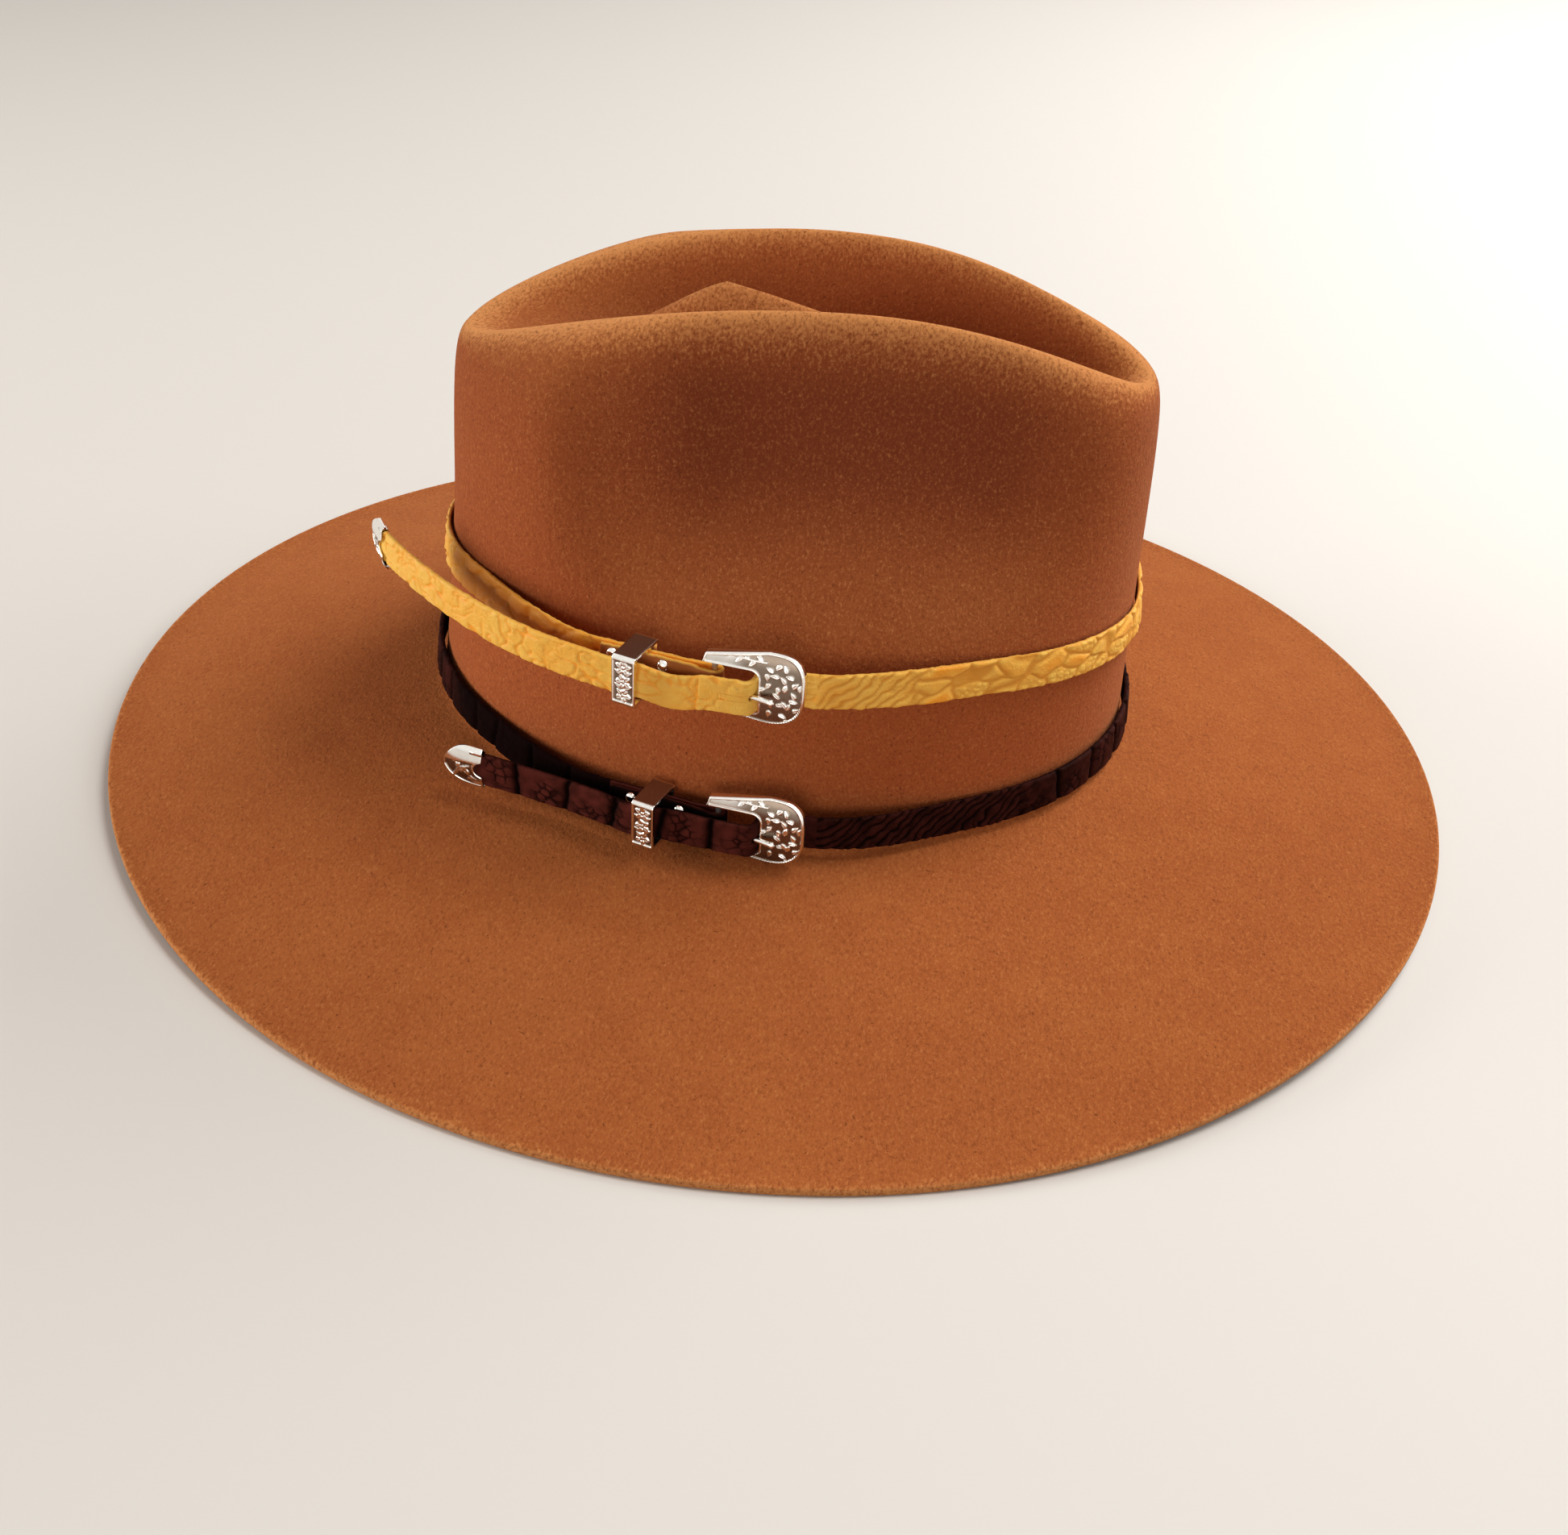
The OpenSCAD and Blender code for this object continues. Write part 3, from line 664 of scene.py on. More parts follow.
@dataclass(frozen=True)
class BandForm:
    """Where one band sits, and the sizes that its leather and its silver share."""

    name: str
    centre_z: float
    run_h: float
    bar_x: float
    angles: tuple[float, float]
    tail_bend: tuple[float, float]
    tail_end: tuple[float, float]
    tail_turn: float
    bar_y: float = 92.5
    strap_w: float = 11
    leather_w: float = 9.8
    leather_t: float = 1.3
    strap_t: float = 1.8
    strap_gap: float = 0.6
    fold_l: float = 31
    fold_turn: float = 8
    layer_out: float = 0.92
    wrap_r: float = 1.76
    tail_out: float = 3.42
    tail_over_bar: float = 4.26
    buckle_l: float = 24
    opening_l: float = 12
    plate_tilt: float = 4
    plate_back: float = 1.32
    low_corner: float = 1.5
    slide_gap: float = 0.35
    keeper_x: float = 20.5
    keeper_w: float = 6.4
    keeper_turn: float = 13
    tip_h: float = 12.6
    sag: float = 0
    tail_dip: float = 0
    tail_lift: float = 0
    tail_reach: float = 30
    tip_drop: float = 0
    tongue_end: float = 9.7

    def drop(self, angle: float) -> float:
        """Returns how far the band hangs below its height at the sides, towards the ends of the crown."""
        return self.sag * (1 - abs(math.sin(angle)))

    def dip(self, spot: Vector) -> float:
        """Returns how far the tail hangs between the keeper and the bar, less its lift beyond the keeper."""
        middle = self.bar_x - self.keeper_x / 2
        hang = self.tail_dip * (1 - ease(abs(spot.x - middle) / (0.55 * self.keeper_x)))
        return hang - self.tail_lift * ease((self.bar_x - self.keeper_x - spot.x) / 14)

    def bar(self) -> Vector:
        """Returns the middle of the bar."""
        return Vector((self.bar_x, -self.bar_y, self.centre_z))

    def at_bar(self, u: float, out: float) -> Vector:
        """Returns a point in plan, forward of the bar by u and outwards of it."""
        return Vector((self.bar_x + u, -self.bar_y - out))

    def at_fold(self, u: float, out: float) -> Vector:
        """Returns a point in plan of the fold, which is turned about the bar."""
        c, s = math.cos(math.radians(self.fold_turn)), math.sin(math.radians(self.fold_turn))
        return self.at_bar(u * c - out * s, u * s + out * c)

    def dive(self) -> Vector:
        """Returns where the strap passes under the closed end of the buckle."""
        u = self.opening_l - self.low_corner / 2
        fall = self.plate_back + self.strap_t / 2 + self.slide_gap + 0.1
        return Vector((u, u * math.tan(math.radians(self.plate_tilt)) - fall))

    def path(self, form: HatForm) -> dict[str, list[Vector]]:
        """Returns the strap's middle line in plan, as named stretches.

        Args:
            form: the crown that the strap goes round.

        Returns:
            The points of the fold, the run round the crown and the tail.
        """
        layer, wrap = self.layer_out, self.wrap_r
        first, last = (math.radians(a) for a in self.angles)
        steps = 54
        out = self.strap_gap + self.strap_t / 2
        angles = [mix(first, last, i / steps) for i in range(steps + 1)]
        run = [form.wall(angle, self.run_h - self.drop(angle), out) for angle in angles]
        start_dir = (run[1] - run[0]).normalized()
        stop_dir = (run[-1] - run[-2]).normalized()
        dive_u, dive_out = self.dive()
        leave = self.at_fold(-self.fold_l - 2, -layer)
        ends = self.at_bar(self.buckle_l + 2, dive_out - 2.6)
        dive = self.at_bar(dive_u - 0.5, dive_out + 1.4)
        over = self.at_bar(0, self.tail_over_bar)
        brow = self.at_bar(8.2, self.tail_over_bar + 0.1)
        free = self.at_bar(-self.keeper_x - self.keeper_w, self.tail_out)
        tail_end = Vector(self.tail_end)
        tail_back = tail_end - self.tail_reach * heading(self.tail_turn)
        at = self.at_fold
        fold = [at(-self.fold_l, layer)]
        fold += bezier(at(-8, layer), at(-5, layer), at(-4, wrap), at(-0.5, wrap), 6)
        turns = [math.radians(15 * i) for i in range(13)]
        fold += [at(wrap * math.sin(a), wrap * math.cos(a)) for a in turns]
        fold += bezier(at(-0.5, -wrap), at(-4, -wrap), at(-5, -layer), at(-8, -layer), 6)
        away = at(-self.fold_l - 14, -layer)
        run_in = bezier(leave, away, run[0] - 20 * start_dir, run[0] - 0.5 * start_dir, 10)
        onward = run[-1] + 14 * stop_dir
        run_out = bezier(run[-1] + 0.5 * stop_dir, onward, ends + Vector((12, 1.5)), ends, 10)
        low = self.at_bar(dive_u + 1.6, dive_out - 0.3)
        under = bezier(ends - Vector((0.5, 0)), ends - Vector((5, 0.5)), low + Vector((3, 0.2)), low, 5)
        bend = self.at_bar(dive_u - 0.4, dive_out)
        under += bezier(low - Vector((0.8, 0)), bend, dive, dive - Vector((0, 0.4)), 4)
        rise = bezier(dive - Vector((0, 0.8)), dive - Vector((0, 2.6)), brow + Vector((1.8, 0)), brow, 7)
        flat = self.at_bar(-12, self.tail_out)
        tail = under + rise + bezier(over, over - Vector((3, 0)), self.at_bar(-8, self.tail_out), flat, 6)
        tail += bezier(free, free + Vector(self.tail_bend), tail_back, tail_end, 16)
        return {"fold": fold, "run": run_in + run + run_out, "tail": tail}


class Hide(Enum):
    """Kinds of embossed leather."""

    MUSTARD = "mustard"
    DARK = "dark"


@dataclass(frozen=True)
class Press:
    """What the embossing does at one point of the leather."""

    depth: float
    dome: float
    groove: float

    def mixed(self, other: "Press", share: float) -> "Press":
        """Returns a blend of this and another press."""
        return Press(
            mix(self.depth, other.depth, share),
            mix(self.dome, other.dome, share),
            mix(self.groove, other.groove, share),
        )


@dataclass(frozen=True)
class Emboss:
    """Scales, cross grooves and wrinkles of embossed leather; depths in millimetres."""

    seed: float
    cell_l: float = 9.5
    cell_w: float = 5.4
    fine_l: float = 2.4
    slant: float = 0.5
    seam: float = 0.2
    seam_depth: float = 0.5
    swell: float = 0.34
    pitch: float = 15
    cut_w: float = 1.0
    cut_depth: float = 0.55
    wrinkle_l: float = 3.7
    edge_wave: float = 0.34
    wrinkled: float = 55
    wrinkle_fade: float = 15
    # Near the buckle the tail's dome tint fades: painted light on the mustard band, painted shade on the dark
    # band.
    shaded: float = 17
    shade_fade: float = 8

    def wobble(self, along: float, across: float, size: float, salt: float) -> float:
        """Returns smooth noise of a size in millimetres, from -1 to 1."""
        return noise.noise(Vector((along / size, across / size, self.seed + salt)))

    def cracks(self, along: float, across: float, size: float, width: float) -> float:
        """Returns a net of fine cracks with meshes of a size, 1 in a crack and 0 beside it."""
        near, _ = noise.voronoi(Vector((along / size, 1.3 * across / size, self.seed + 5)))
        return 1 - ease((near[1] - near[0]) / width)

    def scales(self, along: float, across: float) -> Press:
        """Returns irregular rounded scales with narrow seams, some of them broken into fine ones."""
        spot = Vector(((along - self.slant * across) / self.cell_l, across / self.cell_w + 0.37, self.seed))
        spot += 0.22 * noise.noise_vector(spot * 1.7)
        spot.z = self.seed
        near, points = noise.voronoi(spot)
        gap = near[1] - near[0]
        groove = 1 - ease(gap / self.seam)
        dome = ease(gap / 0.5)
        tint = 0.5 + 0.8 * noise.noise(points[0] * 5.3)
        broken = 1 - ease((tint - 0.35) / 0.15)
        crack = broken * (1 - groove) * self.cracks(along, across, self.fine_l, 0.35)
        depth = self.seam_depth * groove - self.swell * dome * (1 - 0.5 * broken) + 0.2 * crack
        return Press(depth, dome * (1 - broken) * ease((tint - 0.3) / 0.4), max(groove, 0.6 * crack))

    def courses(self, along: float, across: float) -> Press:
        """Returns long rectangular scales with grooves across the strap and creases along it."""
        index = math.floor(along / self.pitch)
        gap = self.pitch
        for i in range(index - 1, index + 3):
            jitter = 0.3 * noise.noise(Vector((i * 3.7, self.seed, 0.3)))
            lean = 0.5 * noise.noise(Vector((i * 5.1, self.seed, 7.9)))
            wave = 0.5 * noise.noise(Vector((across * 0.4, i * 2.3, self.seed)))
            gap = min(gap, abs(along - (i + jitter) * self.pitch - lean * across - wave))
        groove = 1 - ease((gap - 0.25 * self.cut_w) / self.cut_w)
        side = abs(across + 3.0 - 1.2 * self.wobble(along, 0, 9, 3.3))
        crease = 0.6 * (1 - ease(side / 0.45)) * ease(0.4 + self.wobble(along, 0, 5, 9.1))
        fine = self.cracks(along, across, 3.2, 0.2) * ease(0.4 + 1.4 * self.wobble(along, across, 7, 6.2))
        crease = max(crease, 0.8 * fine)
        dome = ease(gap / 3.0)
        toned = 0.7 + 0.6 * self.wobble(along, across, 2.8, 4.4)
        depth = self.cut_depth * groove + 0.3 * crease - self.swell * dome * (0.8 + 0.3 * toned)
        return Press(depth, toned * dome * (1 - crease), max(groove, crease))

    def wrinkles(self, along: float, across: float) -> Press:
        """Returns slanting, branching wrinkles at two sizes."""
        warp = 0.9 * self.wobble(along, across, 8, 0) + 0.35 * self.wobble(along, across, 2.5, 1)
        phase = (along - 1.2 * across) / self.wrinkle_l + warp
        wide = 0.5 + 0.5 * math.sin(2 * math.pi * phase)
        close = 0.5 + 0.5 * math.sin(2 * math.pi * (2.3 * phase + self.wobble(along, across, 4, 2)))
        close = 1 - (1 - close) * ease(0.5 + 0.9 * self.wobble(along, across, 6, 7))
        groove = max(1 - ease(wide / 0.4), 0.6 * (1 - ease(close / 0.5)))
        return Press(0.42 * groove - 0.5 * self.swell * wide, 0.3 * wide, groove)

    def crumple(self, along: float, across: float) -> Press:
        """Returns a soft hide with thin creases across it and short branching ones between."""
        cross = self.courses(along, across).groove * ease(0.3 + 2.2 * self.wobble(along, across, 6, 33))
        long = 1 - ease(abs(self.wobble(along, 1.6 * across, 7, 21)) / 0.1)
        short = 1 - ease(abs(self.wobble(along, across, 3.4, 23)) / 0.16)
        long *= ease(0.7 + 1.6 * self.wobble(along, across, 9, 25))
        short *= ease(0.35 + 1.6 * self.wobble(along, across, 8, 27))
        groove = max(0.9 * cross, 0.9 * long, 0.8 * short)
        puff = 0.5 + 0.5 * self.wobble(along, across, 4, 29)
        return Press(0.7 * groove - 0.55 * puff, groove + 0.25 * (1 - puff), 0.0)

    def pores(self, along: float, across: float) -> float:
        """Returns fine unevenness, in millimetres."""
        return 0.09 * self.wobble(along, across, 2.6, 2) + 0.05 * self.wobble(along, across, 0.8, 3)


@dataclass
class Strap:
    """One band: a folded end on the bar, a turn round the crown, and a loose tail."""

    band: BandForm
    hide: Hide
    emboss: Emboss
    across: int = 30
    back_across: int = 8
    spacing: float = 0.46
    edge_r: float = 0.4
    fold_tint: float = 0.8
    run_tint: float = 0.12
    # Dome tint kept at the mustard tail's buckle end: a painted light.
    tail_painted_light_tint: float = 0.3
    slot_h: float = 1.8
    slot_u: tuple[float, float] = (2.3, 11.6)
    slot_out: float = 0.9
    slot_start: tuple[float, float] = (3.2, 2.9)
    fold_slot_r: float = 2.76
    tongue_h: float = 1.74
    tongue_u: float = 2.07
    tongue_out: float = 3
    tongue_columns: int = 7
    lean_reach: float = 30
    # Painted shade on the run behind the tail: its reach from the fold, and the share of the back's colour on
    # each hide.
    covered: float = 60
    covered_fade: float = 20
    painted_brown_shade: float = 0.6
    painted_black_shade: float = 0.9

    def section(self) -> list[tuple[float, float, float]]:
        """Returns the closed section as (out, height, share of the back) per corner."""
        t, w, r = self.band.leather_t / 2, self.band.leather_w / 2, self.edge_r
        front = [(t, height, 0.0) for height in self.heights(w - r, self.across)]
        back = [(-t, -height, 1.0) for height in self.heights(w - r, self.back_across)]
        top = [(0.55 * t, w - 0.12 * r, 0.0), (-0.55 * t, w - 0.12 * r, 0.35)]
        low = [(-0.55 * t, -w + 0.12 * r, 0.35), (0.55 * t, -w + 0.12 * r, 0.0)]
        return front + top + back + low

    def heights(self, reach: float, count: int) -> list[float]:
        """Returns even heights across a face, with those near the slot's edges moved onto them."""
        found = []
        for i in range(count + 1):
            height = mix(-reach, reach, i / count)
            edge = math.copysign(self.slot_h / 2, height)
            found.append(edge if abs(height - edge) < reach / count else height)
        return found

    def pressed(self, stretch: str, along: float, across: float) -> Press:
        """Returns the embossing on a stretch of the strap.

        Args:
            stretch: fold, run or tail.
            along: distance from the buckle, in the direction that leads away from it.
            across: height above the strap's middle.

        Returns:
            The press at that point.
        """
        e = self.emboss
        if stretch == "fold":
            return Press(0.0, self.fold_tint, 0.0)
        mustard = self.hide is Hide.MUSTARD
        if stretch == "run":
            scaled = e.scales(along, across) if mustard else e.courses(along, across)
            press = e.wrinkles(along, across).mixed(scaled, ease((along - e.wrinkled) / e.wrinkle_fade))
            tint = 1.0 if mustard else self.run_tint
        else:
            press = e.crumple(along, across) if mustard else e.courses(along, across)
            # Painted light on the mustard tail near the buckle, painted shade on the dark tail there.
            least = self.tail_painted_light_tint if mustard else 0.0
            tint = mix(least, 1, ease((along - e.shaded) / e.shade_fade))
        return Press(press.depth, tint * press.dome, press.groove)

    def toned(self, press: Press, along: float, away: float, height: float) -> tuple[Press, float]:
        """Returns what is left of the embossing's colour marks on the run behind the tail, where shade is
        painted.

        Args:
            press: the embossing at a point of the run.
            along: distance from the buckle, as in pressed().
            away: distance from the end of the fold.
            height: height above the strap's middle.

        Returns:
            The press with its colour marks changed, and the share of the back's colour painted as shade.
        """
        near = 1 - ease((away - self.covered) / self.covered_fade)
        # Painted shade: near black on the dark band; on the mustard, the back's brown below a ragged line and
        # the dome tint above it.
        tint, back = 0.0, self.painted_black_shade
        if self.hide is Hide.MUSTARD:
            ragged = height - 1.6 - 1.6 * self.emboss.wobble(along, height, 5, 31)
            tint, back = self.fold_tint, self.painted_brown_shade * (1 - ease(ragged / 1.4 + 0.5))
        left = Press(press.depth, mix(press.dome, tint, near), press.groove * (1 - 0.8 * near))
        return left, near * back

    def build(self, form: HatForm, finish: bpy.types.Material) -> bpy.types.Object:
        """Makes the strap piece and the tongue that rides on the prong."""
        band = self.band
        parts = band.path(form)
        line = smooth_line(parts["fold"] + parts["run"] + parts["tail"], self.spacing)
        section = self.section()
        last = len(line) - 1
        stretches = self.stretches(line)
        exit_row = max(i for i in range(last) if stretches[i] == "run")
        first_run = stretches.index("run")
        marks = ("dome", "groove", "back")

        def leather(sheet: Sheet, out: float, height: float, back: float, row: int) -> Vector:
            ahead = (line[min(row + 1, last)] - line[max(row - 1, 0)]).normalized()
            normal = Vector((-ahead.y, ahead.x))
            stretch = stretches[row]
            along = abs(row - exit_row) * self.spacing
            rim = abs(height) / (band.leather_w / 2)
            side = math.copysign(40, height)
            wave = self.emboss.wobble(along, side, 4.5, 11) + 0.4 * self.emboss.wobble(along, side, 1.3, 12)
            fine = self.emboss.pores(along, height)
            if out > 0:
                press = self.pressed(stretch, along, height)
                out -= (press.depth + fine) * min(1.0, out / (band.leather_t / 2))
                if stretch == "run":
                    # Painted shade on the run behind the tail.
                    press, back = self.toned(press, along, (row - first_run) * self.spacing, height)
                sheet.mark["dome"] = press.dome
                sheet.mark["groove"] = press.groove
            else:
                out += 0.5 * fine
            sheet.mark["back"] = back
            height += math.copysign(self.emboss.edge_wave * wave * rim**6, height)
            lean = self.tilt(row, stretches)
            spot = line[row] + normal * (out - lean * form.lean_side * height)
            hang = lean * band.drop(math.atan2(line[row].y / form.crown_w, line[row].x / form.crown_l))
            if stretch == "tail":
                hang = band.dip(line[row])
            return Vector((spot.x, spot.y, band.centre_z + height - hang))

        def place(sheet: Sheet, column: int, row: int) -> Vector:
            out, height, back = section[column % len(section)]
            return leather(sheet, out, height, back, row)

        sheet = Sheet(len(section), last, place, marks).weld().cap()
        self.cut_slot(sheet, self.in_tail_slot)
        self.cut_slot(sheet, self.in_fold_slot)
        piece = make_piece(sheet.outward(), f"{band.name}_strap_leather", finish)
        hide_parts(f"{band.name}_strap")
        over = [row for row in range(last) if self.on_tongue(stretches[row], line[row])]
        columns = self.tongue_columns
        around = 2 * columns

        def place_tongue(sheet: Sheet, column: int, row: int) -> Vector:
            face = band.leather_t / 2
            corners = [mix(-0.5, 0.5, i / (columns - 1)) * self.tongue_h for i in range(columns)]
            column %= around
            if column < columns:
                return leather(sheet, face, corners[column], 0.0, over[row])
            past = line[over[row]].x - band.bar_x - self.tongue_u
            back = mix(0.9 * face, -0.3 * face, ease(past / 0.9))
            return leather(sheet, back, corners[around - 1 - column], 0.3, over[row])

        flap = Sheet(around, len(over) - 1, place_tongue, marks).weld(0.0004).cap().outward()
        tongue = make_piece(flap, f"{band.name}_tongue_leather", finish, f"{band.name}_prong")
        return piece

    def on_tongue(self, stretch: str, spot: Vector) -> bool:
        """Returns whether a point of the line lies where the prong lifts the tail's tongue."""
        band = self.band
        inside = self.tongue_u < spot.x - band.bar_x < band.tongue_end
        return stretch == "tail" and inside and -spot.y - band.bar_y > self.tongue_out

    def stretches(self, line: list[Vector]) -> list[str]:
        """Returns the name of the stretch of each point of the line."""
        band = self.band
        exit_x = band.bar_x + band.buckle_l + 2
        names = []
        name = "fold"
        passed_front = False
        for i, spot in enumerate(line):
            travelled = i * self.spacing
            if name == "fold" and travelled > band.fold_l + 8 and spot.x < band.bar_x - band.fold_l:
                name = "run"
            passed_front = passed_front or spot.x > 2 * exit_x
            if name == "run" and passed_front and spot.x < exit_x:
                name = "tail"
            names.append(name)
        return names

    def tilt(self, row: int, stretches: list[str]) -> float:
        """Returns how far the strap leans with the crown wall at a row, from 0 to 1."""
        reach = round(self.lean_reach / self.spacing)
        if stretches[row] != "run":
            return 0.0
        before = stretches[max(0, row - reach)] == "run"
        after = stretches[min(len(stretches) - 1, row + reach)] == "run"
        if before and after:
            return 1.0
        near = 0
        step = -1 if not before else 1
        while stretches[row + step * near] == "run":
            near += 1
        return ease(near / reach)

    def in_tail_slot(self, spot: Vector) -> bool:
        """Returns whether a point lies in the tail's slot for the prong."""
        band = self.band
        u, out = spot.x - band.bar_x, -spot.y - band.bar_y
        first, last = self.slot_u
        start_u, start_out = self.slot_start
        inside = abs(spot.z - band.centre_z + band.dip(spot)) < self.slot_h / 2
        return inside and first < u < last and out > (start_out if u < start_u else self.slot_out)

    def in_fold_slot(self, spot: Vector) -> bool:
        """Returns whether a point lies in the fold's slot round the bar."""
        band = self.band
        away = math.hypot(spot.x - band.bar_x, spot.y + band.bar_y)
        return away < self.fold_slot_r and abs(spot.z - band.centre_z) < self.slot_h / 2

    def cut_slot(self, sheet: Sheet, inside: Callable[[Vector], bool]) -> None:
        """Cuts a slot through the strap and closes its walls."""
        gone = [face for face in sheet.mesh.faces if inside(face.calc_center_median() / MM)]
        bmesh.ops.delete(sheet.mesh, geom=gone, context="FACES")
        rims = [edge for edge in sheet.mesh.edges if edge.is_boundary]
        bmesh.ops.bridge_loops(sheet.mesh, edges=rims)


@dataclass(frozen=True)
class Leaf:
    """One raised leaf of an engraving: base, direction in degrees, length and half width."""

    base: Vector
    turn: float
    length: float
    half: float

    def height(self, spot: Vector) -> float:
        """Returns the leaf's height at a point, from 0 to 1."""
        a = math.radians(self.turn)
        gap = spot - self.base
        along = (gap.x * math.cos(a) + gap.y * math.sin(a)) / self.length
        if not 0 < along < 1:
            return 0.0
        aside = abs(gap.y * math.cos(a) - gap.x * math.sin(a))
        half = self.half * math.sin(math.pi * along**0.75)
        if aside >= half:
            return 0.0
        vein = 0.4 * (1 - ease(aside / (0.3 * self.half)))
        return math.sqrt(1 - (aside / half) ** 2) - vein


@dataclass(frozen=True)
class Stem:
    """A curling stem that carries leaves on alternate sides."""

    start: Vector
    turn: float
    curl: float
    length: float
    half: float = 0.28
    leaf_l: float = 2.3
    leaf_half: float = 0.5
    spread: float = 42
    pitch: float = 1.5
    step: float = 0.3

    def line(self) -> list[tuple[Vector, float]]:
        """Returns points along the stem with their directions in degrees."""
        spots = []
        spot = self.start.copy()
        turn = self.turn
        count = round(self.length / self.step)
        for i in range(count):
            spots.append((spot.copy(), turn))
            turn += self.curl * self.step * (1 + 1.6 * i / count)
            spot += self.step * heading(turn)
        return spots

    def leaves(self) -> list[Leaf]:
        """Returns the leaves along the stem and one at its end."""
        line = self.line()
        every = max(1, round(self.pitch / self.step))
        found = []
        for order, i in enumerate(range(every // 2, len(line), every)):
            spot, turn = line[i]
            side = 1 if order % 2 else -1
            shrink = 1 - 0.45 * i / len(line)
            found.append(Leaf(spot, turn + side * self.spread, self.leaf_l * shrink, self.leaf_half * shrink))
        spot, turn = line[-1]
        found.append(Leaf(spot, turn, 0.8 * self.leaf_l, 0.8 * self.leaf_half))
        return found


@dataclass
class ScrollWork:
    """An engraving made of stems with leaves, and round beads."""

    stems: list[Stem] = field(default_factory=list)
    loose: list[Leaf] = field(default_factory=list)
    beads: list[tuple[Vector, float]] = field(default_factory=list)

    def __post_init__(self) -> None:
        """Gathers the leaves and the stems' points."""
        self.leaves = self.loose + [leaf for stem in self.stems for leaf in stem.leaves()]
        self.lines = [(spot, stem.half) for stem in self.stems for spot, _ in stem.line()]

    def height(self, spot: Vector) -> float:
        """Returns the height of the engraving at a point, from 0 to 1."""
        best = 0.0
        for leaf in self.leaves:
            if (spot - leaf.base).length_squared < leaf.length**2:
                best = max(best, leaf.height(spot))
        for place, radius in self.lines + self.beads:
            away = (spot - place).length_squared / radius**2
            if away < 1:
                best = max(best, 0.85 * math.sqrt(1 - away))
        return best


def flower(
    centre: Vector, reach: float, turn: float, petals: int = 5
) -> tuple[list[Leaf], tuple[Vector, float]]:
    """Returns the petals and the middle bead of a blossom.

    Args:
        centre: middle of the blossom.
        reach: size of a petal.
        turn: direction of the first petal in degrees.
        petals: number of petals.

    Returns:
        The petals, and the bead's place and radius.
    """
    leaves = []
    for i in range(petals):
        angle = turn + 360 * i / petals
        base = centre + 0.24 * reach * heading(angle)
        leaves.append(Leaf(base, angle, 0.8 * reach, 0.4 * reach))
    return leaves, (centre, 0.26 * reach)


